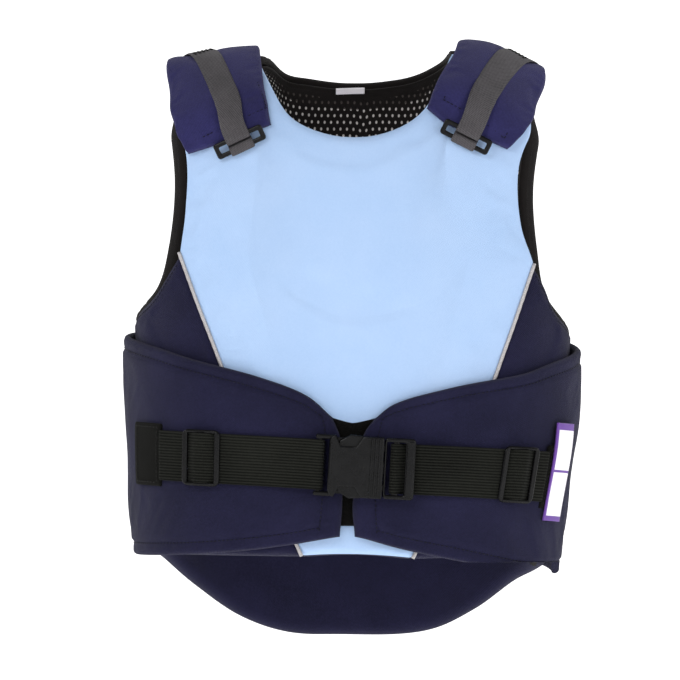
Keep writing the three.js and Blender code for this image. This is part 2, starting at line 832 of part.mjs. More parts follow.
// The soft fastening patch on the chest, which shows between the wings' ends.
const patchRoom = 0.4;
function fasteningPatch() {
  const reach = patchWidth / 2 / halfWidth;
  const top = patchTop.map((row) => ({ across: row.across * reach, down: row.down }));
  const hem = [-1, 0, 1].map((k) => ({ across: k * reach, down: patchHem }));
  const out = panelThickness + patchRoom;
  const topSpots = frontSpots(top, out);
  const hemSpots = frontSpots(hem, out);
  const panel = patch(
    {
      bottom: edge(hemSpots),
      top: edge(topSpots.slice(0, 2), topSpots.slice(1)),
      left: edge([hemSpots[0], topSpots[0]]),
      right: edge([hemSpots[2], topSpots[2]]),
    },
    { columns: 6, rows: 4, insetU: thinInset, insetV: thinInset },
  );
  const face = (depth) => (u, v) => torsoPoint(...panel.at(u, v), out + depth);
  return gridSolid(panel.us, panel.vs, face(0), face(patchThickness));
}

const flapGap = layerGap * 1.3; // the flaps bend tightly over the ridge
const flapBase = (station) => panelAt(station) + flapGap;
const flapTop = (station) => flapBase(station) + flapThickness;

// The spot of a row halfway up the flap's rim, whose distance from the inside is found in steps.
function flapSpot(row) {
  const rim = (station) => flapBase(station) + flapThickness / 2;
  let found = spot(row, rim(bodyLine.ridge), bodyLine.length);
  for (let i = 0; i < 4; i += 1) found = spot(row, rim(found[1]), bodyLine.length);
  return found;
}

function flap(side) {
  const { hem, outer, inner } = flaps[side];
  const [hemSpots, outerSpots, innerSpots] = [hem, outer, inner].map((rows) => rows.map(flapSpot));
  const panel = patch(
    {
      bottom: edge(hemSpots),
      top: edge([lastOf(outerSpots), lastOf(innerSpots)]),
      left: edge(outerSpots),
      right: edge(innerSpots),
    },
    { columns: 6, rows: 13, insetU: 1.6 * thinInset, insetV: thinInset },
  );
  const base = (turn, station) => flapBase(station);
  return paddedPanel(panel, torsoPoint, base, () => flapThickness, softRim);
}

// The outline of a strip of a thickness along a path of [along, out] points.
function ribbon(path, thickness) {
  const points = path.map(([along, out]) => new THREE.Vector2(along, out));
  const normalAt = (i) => {
    const before = points[Math.max(i - 1, 0)];
    const after = points[Math.min(i + 1, points.length - 1)];
    const incoming = points[i].clone().sub(before).normalize();
    const outgoing = after.clone().sub(points[i]).normalize();
    const tangent = incoming.add(outgoing).normalize();
    return new THREE.Vector2(-tangent.y, tangent.x);
  };
  const side = (sign) =>
    points.map((point, i) => point.clone().addScaledVector(normalAt(i), (sign * thickness) / 2));
  return [...side(1), ...side(-1).reverse()];
}

// The outline of a flat strip from a start along, of a length, between two heights.
function strip(start, length, low, high) {
  const steps = 4;
  const alongs = Array.from({ length: steps + 1 }, (_, i) => start + (length * i) / steps);
  const face = (list, out) => list.map((along) => new THREE.Vector2(along, out));
  return [...face(alongs, low), ...face([...alongs].reverse(), high)];
}

// A closed band: an outline in the plane of its length and height, carried across its width. The
// outline runs out along one face of the strip and back along the other, with as many points.
function band(outline, widths, place) {
  const ring = THREE.ShapeUtils.isClockWise(outline) ? [...outline].reverse() : outline;
  const caps = [];
  for (let i = 0; i < ring.length / 2 - 1; i += 1) {
    const across = ring.length - 1 - i;
    caps.push([i, i + 1, across - 1], [i, across - 1, across]);
  }
  const positions = [];
  for (const width of widths) {
    for (const point of ring) positions.push(...place(point.x, width, point.y).toArray());
  }
  const count = ring.length;
  const last = (widths.length - 1) * count;
  const index = [];
  for (let k = 0; k < widths.length - 1; k += 1) {
    for (let i = 0; i < count; i += 1) {
      const a = k * count + i;
      const b = k * count + ((i + 1) % count);
      index.push(a, b, b + count, a, b + count, a + count);
    }
  }
  for (const [a, b, c] of caps) {
    index.push(c, b, a);
    index.push(last + a, last + b, last + c);
  }
  return closed(positions, index);
}

// A half turn of a strip round a square bar, as [along, out] points from above the bar to below it.
// "toward" says on which side of the bar the strip passes: -1 or 1 along.
function wrap([along, out], halfLength, halfHeight, toward) {
  const bend = webbingGap + webbingThickness / 2;
  const corner = bend / 5;
  const quarter = [
    [along, out + halfHeight + bend],
    [along + toward * (halfLength + corner), out + halfHeight + bend],
    [along + toward * (halfLength + bend), out + halfHeight + corner],
  ];
  const mirrored = quarter.map(([a, o]) => [a, 2 * out - o]).reverse();
  return [...quarter, ...mirrored];
}

// Equal steps between two places, with the first left out.
function run(from, to, count) {
  return Array.from({ length: count }, (_, i) => {
    const t = (i + 1) / count;
    return [lerp(from[0], to[0], t), lerp(from[1], to[1], t)];
  });
}

// Solids for the moulded plastic pieces, cut with one another.
function toSolid(geometry) {
  const bare = geometry.clone();
  bare.deleteAttribute('normal');
  bare.deleteAttribute('uv');
  const merged = mergeVertices(bare, 1e-4);
  const mesh = new solids.Mesh({
    numProp: 3,
    vertProperties: new Float32Array(merged.attributes.position.array),
    triVerts: new Uint32Array(merged.index.array),
  });
  return new solids.Manifold(mesh);
}
function toGeometry(solid) {
  const mesh = solid.getMesh();
  const geometry = new THREE.BufferGeometry();
  geometry.setAttribute('position', new THREE.Float32BufferAttribute(mesh.vertProperties, 3));
  geometry.setIndex(Array.from(mesh.triVerts));
  geometry.computeVertexNormals();
  return geometry;
}

// A block with rounded corners in plan: x and y from low to high, z from bottom to top.
function block([x0, y0, z0], [x1, y1, z1], radius = 0) {
  const shape = new THREE.Shape();
  if (radius > 0) {
    shape.absarc(x0 + radius, y0 + radius, radius, Math.PI, 1.5 * Math.PI);
    shape.absarc(x1 - radius, y0 + radius, radius, 1.5 * Math.PI, 2 * Math.PI);
    shape.absarc(x1 - radius, y1 - radius, radius, 0, 0.5 * Math.PI);
    shape.absarc(x0 + radius, y1 - radius, radius, 0.5 * Math.PI, Math.PI);
  } else {
    shape.setFromPoints([
      new THREE.Vector2(x0, y0),
      new THREE.Vector2(x1, y0),
      new THREE.Vector2(x1, y1),
      new THREE.Vector2(x0, y1),
    ]);
  }
  const geometry = new THREE.ExtrudeGeometry(shape, {
    depth: z1 - z0,
    bevelEnabled: false,
    curveSegments: 3,
  });
  return toSolid(geometry.translate(0, 0, z0));
}

// Carries a geometry in (along, side, out) onto a surface.
function laid(geometry, place) {
  const position = geometry.attributes.position;
  const positions = [];
  for (let i = 0; i < position.count; i += 1) {
    positions.push(...place(position.getX(i), position.getY(i), position.getZ(i)).toArray());
  }
  return closed(positions, Array.from(geometry.index.array));
}

// The shoulder strap's own frame: "along" runs from the middle of the ring up the strap, "out" from
// the flap's outer face. Round the ring it is flat, and leans from the flap down to the chest.
const leanStart = ringBelowHem + 6.4;
const leanBlend = 20; // length over which the flat part joins the flap
const strapLow = webbingGap + webbingThickness / 2; // middle of the folded-back layer
const strapHigh = strapLow + webbingThickness + webbingGap;
const ringLow = strapLow + webbingThickness / 2 + webbingGap;
const ringHigh = ringLow + ringThickness;
const ringLean = Math.atan2(flapThickness + flapGap - ringLift, leanStart + ringHeight / 2);

function strapFrame(side) {
  const { ring, top } = shoulderStraps[side];
  const out = shoulderThickness + flapThickness;
  const [middle, upper] = [ring, top].map((row) => {
    const x = row.across * halfWidth;
    return new THREE.Vector2(x, stationAt(x, -row.down * bodyLength, out, bodyLine.length));
  });
  const direction = upper.clone().sub(middle).normalize();
  const sideways = new THREE.Vector2(-direction.y, direction.x);
  const onFace = (along, across, cover) => {
    const point = middle.clone().addScaledVector(direction, along).addScaledVector(sideways, across);
    return facePoint(point.x, point.y, panelAt(point.y) + cover);
  };
  const onFlap = (along, across, height) => onFace(along, across, flapGap + flapThickness + height);
  const low = onFace(-ringHeight / 2, 0, ringRoom + ringLift);
  const high = onFlap(leanStart, 0, ringRoom);
  const alongAxis = high.clone().sub(low).normalize();
  const sideAxis = onFlap(0, 1, 0).sub(onFlap(0, -1, 0));
  sideAxis.addScaledVector(alongAxis, -sideAxis.dot(alongAxis)).normalize();
  const outAxis = new THREE.Vector3().crossVectors(alongAxis, sideAxis);
  outAxis.multiplyScalar(Math.sign(outAxis.dot(onFlap(0, 0, 1).sub(onFlap(0, 0, 0)))));
  for (const axis of [alongAxis, sideAxis]) axis.applyAxisAngle(outAxis, ringTurn[side] * degree);
  const origin = low.clone().addScaledVector(alongAxis, ringHeight / 2);
  const place = (along, across, height) => {
    const flat = origin
      .clone()
      .addScaledVector(alongAxis, along)
      .addScaledVector(sideAxis, across)
      .addScaledVector(outAxis, height);
    const share = smoothstep(along, leanStart, leanStart + leanBlend);
    return flat.lerp(onFlap(along, across, height), share);
  };
  const length = (middle.y - bodyLine.ridge + strapOverRidge) / -direction.y;
  return { place, length };
}

const widthLines = (width) => [-width / 2, 0, width / 2];
const upperBar = ringHeight / 2 - ringBar / 2;
const ringMiddle = (ringLow + ringHigh) / 2;

function shoulderStrap(side) {
  const { place, length } = strapFrame(side);
  const turn = wrap([upperBar, ringMiddle], ringBar / 2, ringThickness / 2, -1);
  const drop = [strapReturn + 9, strapLow + 0.2]; // from here up the strap lies on the flap itself
  const ramp = [upperBar + 11, strapHigh]; // where the strap starts to rise over the ring
  const path = [
    [length, drop[1]],
    ...run([length, drop[1]], drop, 9),
    [strapReturn + 2, strapHigh],
    ...run([strapReturn + 2, strapHigh], ramp, 4),
    [upperBar + ringBar / 2, turn[0][1]],
    ...turn,
    ...run(lastOf(turn), [strapReturn, strapLow], 5),
  ];
  return band(ribbon(path, webbingThickness), widthLines(shoulderWebbing), place);
}

function shoulderRing(side) {
  const { place } = strapFrame(side);
  const half = [ringHeight / 2, ringWidth / 2];
  const hole = [half[0] - ringBar, half[1] - ringBar];
  const round = { outer: 2.5, inner: 1 };
  const outer = block([-half[0], -half[1], ringLow], [half[0], half[1], ringHigh], round.outer);
  const inner = block([-hole[0], -hole[1], ringLow - 1], [hole[0], hole[1], ringHigh + 1], round.inner);
  return laid(toGeometry(outer.subtract(inner)), place);
}

// The short webbing that ties the ring's lower bar to the chest.
function ringAnchor(side) {
  const { place } = strapFrame(side);
  const start = ringBelowHem - 3.4;
  const lying = (along, layer) => {
    const chest = -Math.sin(ringLean) * (along + ringHeight / 2) - ringRoom / 2 - ringLift;
    return [along, chest + strapLow + layer * (webbingThickness + webbingGap)];
  };
  const turn = wrap([-upperBar, ringMiddle], ringBar / 2, ringThickness / 2, -1).reverse();
  const path = [
    lying(start, 0),
    ...turn,
    [-upperBar + ringBar / 2 + 1, lastOf(turn)[1] - 0.7],
    [-upperBar + ringBar / 2 + 1.6, ringLow],
    lying(start, 1),
  ];
  return band(ribbon(path, webbingThickness), widthLines(shoulderWebbing), place);
}

// The belt's own frame: "along" runs round the wings from the middle of the buckle, "up" across the
// webbing, "out" from the wings' outer face. It is flat behind the buckle and curves beyond it.
const beltFrame = (() => {
  const level = -beltCentre.down * bodyLength;
  const centreX = beltCentre.across * halfWidth;
  const wingTop = (turn, z) => wingBase(turn, z) + wingThickness;
  const outer = wingTop(0, level);
  const steps = 240;
  const samples = [];
  let length = 0;
  for (let i = 0; i <= steps; i += 1) {
    const turn = lerp(-wingRearTurn, wingRearTurn, i / steps) * degree;
    const point = ringPoint(turn, level, wingTop(turn, level));
    if (i > 0) length += point.distanceTo(samples[i - 1].point);
    samples.push({ turn, point, length });
  }
  const zero = lengthAt(turnAt(centreX, level, outer));
  function lengthAt(turn) {
    const place = ((turn / degree + wingRearTurn) / (2 * wingRearTurn)) * steps;
    const i = clamp(Math.floor(place), 0, steps - 1);
    return lerp(samples[i].length, samples[i + 1].length, place - i);
  }
  function turnOf(arc) {
    let i = 0;
    while (i < steps - 1 && samples[i + 1].length < arc) i += 1;
    const a = samples[i];
    const b = samples[i + 1];
    return lerp(a.turn, b.turn, clamp((arc - a.length) / (b.length - a.length), 0, 1));
  }
  const tilt = beltTilt * degree;
  const centreTurn = turnAt(centreX, level, outer);
  const onWing = (along, up, out) => {
    const turn = turnOf(zero + along * Math.cos(tilt) + up * Math.sin(tilt));
    const z = level - along * Math.sin(tilt) + up * Math.cos(tilt);
    return ringPoint(turn, z, wingTop(turn, z) + out);
  };
  const origin = ringPoint(centreTurn, level, outer);
  const step = 1;
  const alongAxis = onWing(step, 0, 0).sub(onWing(-step, 0, 0)).normalize();
  const upAxis = onWing(0, step, 0).sub(onWing(0, -step, 0));
  const outAxis = alongAxis.clone().cross(upAxis).normalize();
  upAxis.crossVectors(outAxis, alongAxis).normalize();
  const flat = (along, up, out) =>
    origin
      .clone()
      .addScaledVector(alongAxis, along)
      .addScaledVector(upAxis, up)
      .addScaledVector(outAxis, out);
  const flatHalf = buckleLength / 2 + 4;
  const flatBlend = 36; // length over which the flat part joins the wings
  const place = (along, up, out) => {
    const share = smoothstep(Math.abs(along), flatHalf, flatHalf + flatBlend);
    return flat(along, up, out).lerp(onWing(along, up, out), share);
  };
  const alongOf = (across) => lengthAt(turnAt(across * halfWidth, level, outer)) - zero;
  const matrix = new THREE.Matrix4().makeBasis(alongAxis, upAxis, outAxis).setPosition(origin);
  return { place, alongOf, matrix };
})();

const layerLow = beltRoom + webbingThickness / 2;
const layerHigh = layerLow + webbingThickness + webbingGap;
const barLow = layerHigh + webbingThickness / 2 + webbingGap; // underside of slider and end bar
const sliderTop = barLow + sliderThickness;
const humpOut = sliderTop + webbingGap + webbingThickness / 2;

// Distances from the buckle's middle at which the pieces of one side of the belt lie.
function beltPlaces(side) {
  const sign = side === 'left' ? -1 : 1;
  const slider = Math.abs(beltFrame.alongOf(beltStations[side].slider));
  const patchStart = Math.abs(beltFrame.alongOf(beltStations[side].patch));
  return { sign, slider, patchStart };
}

const socketBarLow = layerLow + webbingThickness / 2 + webbingGap;
const socketBarInset = 1.5; // from the horns' tips to the bar between them

// The bar of the buckle that the webbing turns round, as its middle along, and its height.
function turningBar(side) {
  if (side === 'left') {
    const along = buckleLength / 2 - socketBarInset - socketBarWidth / 2;
    const high = socketBarLow + socketBarThickness;
    return { along, half: socketBarWidth / 2, low: socketBarLow, high, slot: 9 };
  }
  const along = buckleLength / 2 - plugEnd - plugSlot - plugBarWidth / 2;
  const high = barLow + plugBarThickness;
  return { along, half: plugBarWidth / 2, low: barLow, high, slot: plugSlot - 0.5 };
}

// Elastic from the end patch through the slider, round the buckle's bar and back under itself.
function waistStrap(side) {
  const { sign, slider, patchStart } = beltPlaces(side);
  const bar = turningBar(side);
  const outerBar = slider + sliderLength / 2 - sliderBar;
  const innerBar = slider - sliderLength / 2 + sliderBar;
  const hump = sliderBar / 2 + 0.6;
  const start = [patchStart - seamGap, layerHigh];
  const turn = wrap([bar.along, (bar.low + bar.high) / 2], bar.half, (bar.high - bar.low) / 2, -1);
  const beforeBar = bar.along + bar.half + bar.slot;
  const returnEnd = [slider - sliderBar, layerLow];
  const path = [
    start,
    [outerBar + 1, layerHigh],
    [outerBar - 0.6, layerHigh + 0.2],
    [slider + hump + 0.1, humpOut - 0.2],
    [slider + hump - 1, humpOut],
    [slider - hump + 1, humpOut],
    [slider - hump - 0.1, humpOut - 0.2],
    [innerBar + 0.6, layerHigh + 0.2],
    [innerBar - 1, layerHigh],
    ...run([innerBar - 1, layerHigh], [beforeBar, layerHigh], 8),
    [bar.along + bar.half + 0.3, turn[0][1] - 0.1],
    ...turn,
    [bar.along + bar.half + 1, layerLow + 0.1],
    ...run([bar.along + bar.half + 2, layerLow], returnEnd, 9),
  ];
  const place = (along, up, out) => beltFrame.place(sign * along, up, out);
  return band(ribbon(path, webbingThickness), widthLines(waistWebbing), place);
}

function slider(side) {
  const { sign, slider: middle } = beltPlaces(side);
  const half = [sliderLength / 2, sliderHeight / 2];
  const slot = (sliderLength - 3 * sliderBar) / 2;
  const cornerRound = 3;
  let solid = block([-half[0], -half[1], barLow], [half[0], half[1], sliderTop], cornerRound);
  for (const direction of [-1, 1]) {
    const inside = direction * (sliderBar / 2);
    const outside = direction * (sliderBar / 2 + slot);
    const [x0, x1] = [Math.min(inside, outside), Math.max(inside, outside)];
    const rail = half[1] - sliderRail;
    solid = solid.subtract(block([x0, -rail, barLow - 1], [x1, rail, sliderTop + 1]));
  }
  return laid(toGeometry(solid), (along, up, out) => beltFrame.place(sign * middle + along, up, out));
}

// The sewn patch that holds the end of the elastic on the wing.
function endPatch(side) {
  const { sign, patchStart } = beltPlaces(side);
  const outline = strip(patchStart, endPatchLength, layerGap, layerGap + endPatchThickness);
  const place = (along, up, out) => beltFrame.place(sign * along, up, out);
  return band(outline, widthLines(endPatchHeight), place);
}

// The buckle, in the belt frame: x along, y up, z out.
const buckleLow = beltRoom - 0.2;
const buckleHigh = buckleLow + buckleThickness;
const socketEnd = buckleLength / 2 - prongFrame;
const hollowMiddle = buckleLow + 0.51 * buckleThickness;
const hollow = {
  half: prongRoom.width / 2,
  low: hollowMiddle - prongRoom.height / 2,
  high: hollowMiddle + prongRoom.height / 2,
};
const windowEnd = socketEnd - windowFromPlug;
const windowStart = windowEnd - windowLength;
const ordered = (a, b) => [Math.min(a, b), Math.max(a, b)];

function buckleSocket() {
  const half = buckleHeight / 2;
  const bodyStart = -buckleLength / 2 + buckleHorn;
  const round = { body: 4, horn: 1.5, window: 2 };
  const past = 1; // how far cuts run out beyond the body
  const hornRoot = bodyStart + 6;
  const low = buckleLow;
  const high = buckleHigh;
  let solid = block([bodyStart, -half, low], [socketEnd - plugGap, half, high], round.body);
  for (const sign of [-1, 1]) {
    const [inner, outer] = ordered(sign * half, sign * (half - buckleHornWidth));
    const hornLow = [-buckleLength / 2, inner, low + 1];
    solid = solid.add(block(hornLow, [hornRoot, outer, high - 3], round.horn));
  }
  const barStart = -buckleLength / 2 + socketBarInset;
  const barHalf = half - buckleHornWidth / 2;
  const barHigh = socketBarLow + socketBarThickness;
  const bar = [barStart + socketBarWidth, barHalf, barHigh];
  solid = solid.add(block([barStart, -barHalf, socketBarLow], bar));
  const mouth = [socketEnd + past, hollow.half, hollow.high];
  solid = solid.subtract(block([socketEnd - prongRoom.depth, -hollow.half, hollow.low], mouth));
  for (const sign of [-1, 1]) {
    const [inner, outer] = ordered(sign * (half - windowDepth), sign * (half + 3 * past));
    const corner = [windowEnd, outer, high + past];
    solid = solid.subtract(block([windowStart, inner, hollow.low], corner, round.window));
  }
  return toGeometry(solid);
}

function bucklePlug() {
  const half = buckleHeight / 2;
  const end = buckleLength / 2;
  const low = barLow;
  const high = barLow + prongFrameThickness;
  const round = { frame: 3, grip: 2 };
  const past = 1;
  const open = half - prongFrameRail;
  const outerSlot = end - plugEnd - plugSlot;
  const bar = outerSlot - plugBarWidth;
  const cut = (from, to, bottom) => block([from, -open, bottom], [to, open, high + past]);
  let solid = block([socketEnd, -half, low], [end, half, high], round.frame);
  solid = solid.subtract(cut(outerSlot, end - plugEnd, low - past));
  solid = solid.subtract(cut(bar - plugSlot, bar, low - past));
  solid = solid.subtract(cut(bar - past, outerSlot + past, low + plugBarThickness));
  const prongLow = hollow.low + plugGap;
  const prongHigh = hollow.high - plugGap;
  const root = socketEnd + past;
  for (const sign of [-1, 1]) {
    const outside = hollow.half - plugGap;
    const [inner, outer] = ordered(sign * outside, sign * (outside - prongWidth));
    solid = solid.add(block([windowEnd - prongWidth, inner, prongLow], [root, outer, prongHigh]));
    const [gripLow, gripHigh] = ordered(sign * (outside + prongGrip), sign * (outside - prongWidth));
    const gripEnd = [windowEnd - plugGap, gripHigh, prongHigh];
    solid = solid.add(block([windowStart + 3 * plugGap, gripLow, prongLow], gripEnd, round.grip));
  }
  const guide = guideWidth / 2;
  solid = solid.add(block([socketEnd - guideLength, -guide, prongLow], [root, guide, prongHigh]));
  return toGeometry(solid);
}

// Labels are thin sewn tabs.
function sideLabel() {
  const { patchStart } = beltPlaces('right');
  const low = layerGap + endPatchThickness + 2 * webbingGap;
  const start = patchStart + labelOverPatch;
  const lines = [-0.5, -0.3, 0, 0.3, 0.5].map((share) => share * sideLabelHeight + sideLabelRise);
  const outline = strip(start, sideLabelWidth, low, low + labelThickness);
  return band(outline, lines, beltFrame.place);
}

function neckLabel() {
  const x = neckLabelCentre.across * halfWidth;
  const top = backNeck.find((row) => row.across === 0);
  const station = stationAt(x, -top.down * bodyLength, 0, 0) - webbingGap;
  const off = 2 * webbingGap;
  const outline = strip(0, neckLabelHeight, -off - labelThickness, -off);
  const place = (down, across, out) => facePoint(x + across, station - down, out);
  return band(outline, widthLines(neckLabelWidth), place);
}

const finish = (color, roughness) => new THREE.MeshStandardMaterial({ color, roughness, metalness: 0 });
const materials = {
  chestFabric: finish(0xb9d5f8, 0.85),
  bodyFabric: finish(0x23223a, 0.9),
  flapFabric: finish(0x34325a, 0.9),
  mesh: finish(0x15110f, 0.95),
  piping: finish(0xa9a5a6, 0.5),
  elastic: finish(0x1e1e1a, 0.9),
  webbing: finish(0x4a4648, 0.8),
  plastic: finish(0x141416, 0.35),
  label: finish(0xf4f2f0, 0.7),
};

function piece(name, geometry, material) {
  const mesh = new THREE.Mesh(geometry, material);
  mesh.name = name;
  return mesh;
}

function buildTorso() {
  const torso = new THREE.Group();
  torso.add(piece('front_panel', frontPanel(), materials.chestFabric));
  torso.add(piece('back_panel', backPanel(), materials.bodyFabric));
  torso.add(piece('back_lining', backLining(), materials.mesh));
  torso.add(piece('fastening_patch', fasteningPatch(), materials.elastic));
  torso.add(piece('neck_label', neckLabel(), materials.label));
  for (const side of ['left', 'right']) {
    torso.add(piece(`front_side_${side}`, frontSide(side), materials.bodyFabric));
    torso.add(piece(`piping_${side}`, piping(side), materials.piping));
  }
  return torso;
}

function buildShoulders() {
  const shoulders = new THREE.Group();
  for (const side of ['left', 'right']) {
    shoulders.add(piece(`shoulder_flap_${side}`, flap(side), materials.flapFabric));
    shoulders.add(piece(`shoulder_strap_${side}`, shoulderStrap(side), materials.webbing));
    shoulders.add(piece(`shoulder_ring_${side}`, shoulderRing(side), materials.plastic));
    shoulders.add(piece(`ring_anchor_${side}`, ringAnchor(side), materials.webbing));
  }
  return shoulders;
}

function buildWaist() {
  const waist = new THREE.Group();
  for (const side of ['left', 'right']) {
    waist.add(piece(`waist_wing_${side}`, wing(side), materials.bodyFabric));
    waist.add(piece(`waist_strap_${side}`, waistStrap(side), materials.elastic));
    waist.add(piece(`strap_patch_${side}`, endPatch(side), materials.elastic));
    waist.add(piece(`slider_${side}`, slider(side), materials.plastic));
  }
  waist.add(piece('side_label', sideLabel(), materials.label));
  const buckle = new THREE.Group();
  buckle.add(piece('buckle_socket', buckleSocket(), materials.plastic));
  buckle.add(piece('buckle_plug', bucklePlug(), materials.plastic));
  buckle.applyMatrix4(beltFrame.matrix);
  waist.add(buckle);
  return waist;
}

const bodyProtector = new THREE.Group();
bodyProtector.add(buildTorso(), buildShoulders(), buildWaist());

export default bodyProtector;
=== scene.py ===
"""The looks of a child's padded riding vest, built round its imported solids.

Lengths inside the script are millimetres; meshes are scaled to metres as they are made. The front of
the vest faces -Y, "left" is the viewer's left, and the origin is the inside of the shoulder ridge.
"""

import logging
import math
from dataclasses import dataclass, field
from enum import Enum
from typing import Callable, NamedTuple, Sequence

import bpy
import numpy as np
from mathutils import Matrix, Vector

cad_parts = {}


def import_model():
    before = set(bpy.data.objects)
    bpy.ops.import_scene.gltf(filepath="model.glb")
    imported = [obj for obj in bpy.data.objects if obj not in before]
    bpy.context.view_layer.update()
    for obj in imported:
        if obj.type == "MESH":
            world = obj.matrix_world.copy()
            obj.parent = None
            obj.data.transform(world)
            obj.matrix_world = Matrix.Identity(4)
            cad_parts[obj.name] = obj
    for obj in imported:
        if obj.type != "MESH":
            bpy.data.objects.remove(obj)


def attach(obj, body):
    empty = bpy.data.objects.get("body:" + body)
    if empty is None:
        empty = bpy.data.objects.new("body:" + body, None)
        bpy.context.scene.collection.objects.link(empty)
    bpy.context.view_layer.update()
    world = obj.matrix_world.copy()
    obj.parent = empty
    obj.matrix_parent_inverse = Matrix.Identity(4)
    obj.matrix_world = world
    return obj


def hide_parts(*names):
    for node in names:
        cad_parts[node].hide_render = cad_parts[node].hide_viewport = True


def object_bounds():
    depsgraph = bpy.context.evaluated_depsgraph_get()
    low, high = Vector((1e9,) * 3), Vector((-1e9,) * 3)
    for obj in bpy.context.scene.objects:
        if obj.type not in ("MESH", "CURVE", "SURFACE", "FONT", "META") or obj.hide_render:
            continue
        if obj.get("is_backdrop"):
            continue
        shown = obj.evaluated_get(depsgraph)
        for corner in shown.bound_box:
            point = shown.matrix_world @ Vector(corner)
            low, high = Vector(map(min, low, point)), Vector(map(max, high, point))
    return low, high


LOG = logging.getLogger("vest")
MM = 0.001
Points = np.ndarray
Place = Callable[[Points, Points, Points], Points]
Field = Callable[[Points, Points], Points]
Pair = tuple[Points, Points]
Plate = tuple[Points, list[tuple[int, ...]]]
Material = bpy.types.Material
Socket = bpy.types.NodeSocket
Thing = bpy.types.Object


# Numbers and curves


def smoothstep(value: Points, low: float, high: float) -> Points:
    """Rises smoothly from 0 at low to 1 at high.

    Args:
        value: numbers to read.
        low: where the rise starts.
        high: where the rise ends.

    Returns:
        Numbers from 0 to 1.
    """
    share = np.clip((np.asarray(value, float) - low) / (high - low), 0, 1)
    return share * share * (3 - 2 * share)


def mix(first: Points, second: Points, share: Points) -> Points:
    """A value between first and second, by share."""
    return first + (second - first) * share


def profile(rows: Sequence[tuple[float, float]]) -> Callable[[Points], Points]:
    """A smooth curve through a table of (place, value).

    Args:
        rows: the table, with places that rise.

    Returns:
        A function from places to values.
    """
    x, y = np.array(rows, float).T
    index = np.arange(len(x))
    before, after = np.maximum(index - 1, 0), np.minimum(index + 1, len(x) - 1)
    slope = (y[after] - y[before]) / (x[after] - x[before])

    def read(place: Points) -> Points:
        """Reads the curve.

        Args:
            place: the places.

        Returns:
            The value at each.
        """
        i = np.clip(np.searchsorted(x, place, side="left") - 1, 0, len(x) - 2)
        width = x[i + 1] - x[i]
        s = np.clip((place - x[i]) / width, 0, 1)
        bend = s * (1 - s) * width * (slope[i] * (1 - s) - slope[i + 1] * s)
        return y[i] + (y[i + 1] - y[i]) * s * s * (3 - 2 * s) + bend

    return read


def smooth_line(points: Points, steps: int) -> Points:
    """A smooth line that passes through every given point.

    Args:
        points: two or more points, in any number of dimensions.
        steps: how many points the line has between two given ones.

    Returns:
        The line's points.
    """
    given = np.asarray(points, float)
    ends = np.vstack([2 * given[0] - given[1], given, 2 * given[-1] - given[-2]])
    share = np.linspace(0, 1, steps, endpoint=False)[:, None]
    line = []
    for a, b, c, d in zip(ends, ends[1:], ends[2:], ends[3:]):
        middle = math.sqrt(np.linalg.norm(c - b)) or 1.0
        first = math.sqrt(np.linalg.norm(b - a)) or middle
        last = math.sqrt(np.linalg.norm(d - c)) or middle
        out = ((b - a) / first - (c - a) / (first + middle) + (c - b) / middle) * middle
        into = ((c - b) / middle - (d - b) / (middle + last) + (d - c) / last) * middle
        bend = (2 * b - 2 * c + out + into) * share**3 + (3 * c - 3 * b - 2 * out - into) * share**2
        line.append(b + out * share + bend)
    return np.vstack([*line, given[-1:]])


def lengths_along(points: Points) -> Points:
    """Distance of each point from the first, measured along the line."""
    return np.concatenate([[0.0], np.cumsum(np.linalg.norm(np.diff(points, axis=0), axis=1))])


def unit(vectors: Points) -> Points:
    """The same vectors at length 1."""
    return vectors / np.linalg.norm(vectors, axis=-1, keepdims=True)


def even(value: float) -> Field:
    """A height or thickness that is the same all over a panel."""
    return lambda turn, along: np.full(np.shape(turn), value)


def word_of(left: bool) -> str:
    """A side's name."""
    return "left" if left else "right"


def resample(points: Points, step: float) -> Points:
    """The same line with points at an even distance.

    Args:
        points: the line.
        step: about how far apart its new points are.

    Returns:
        The new points.
    """
    run = lengths_along(points)
    places = np.linspace(0, run[-1], max(int(round(run[-1] / step)), 2) + 1)
    return np.stack([np.interp(places, run, column) for column in points.T], -1)


# Body form


class Spot(NamedTuple):
    """A place on the vest as seen from the front.

    across and down are shares of half the width and of the length. over is a distance behind the
    shoulder ridge in mm, and turn an angle round from the front in degrees.
    """

    across: float = 0.0
    down: float = 0.0
    over: float | None = None
    turn: float | None = None


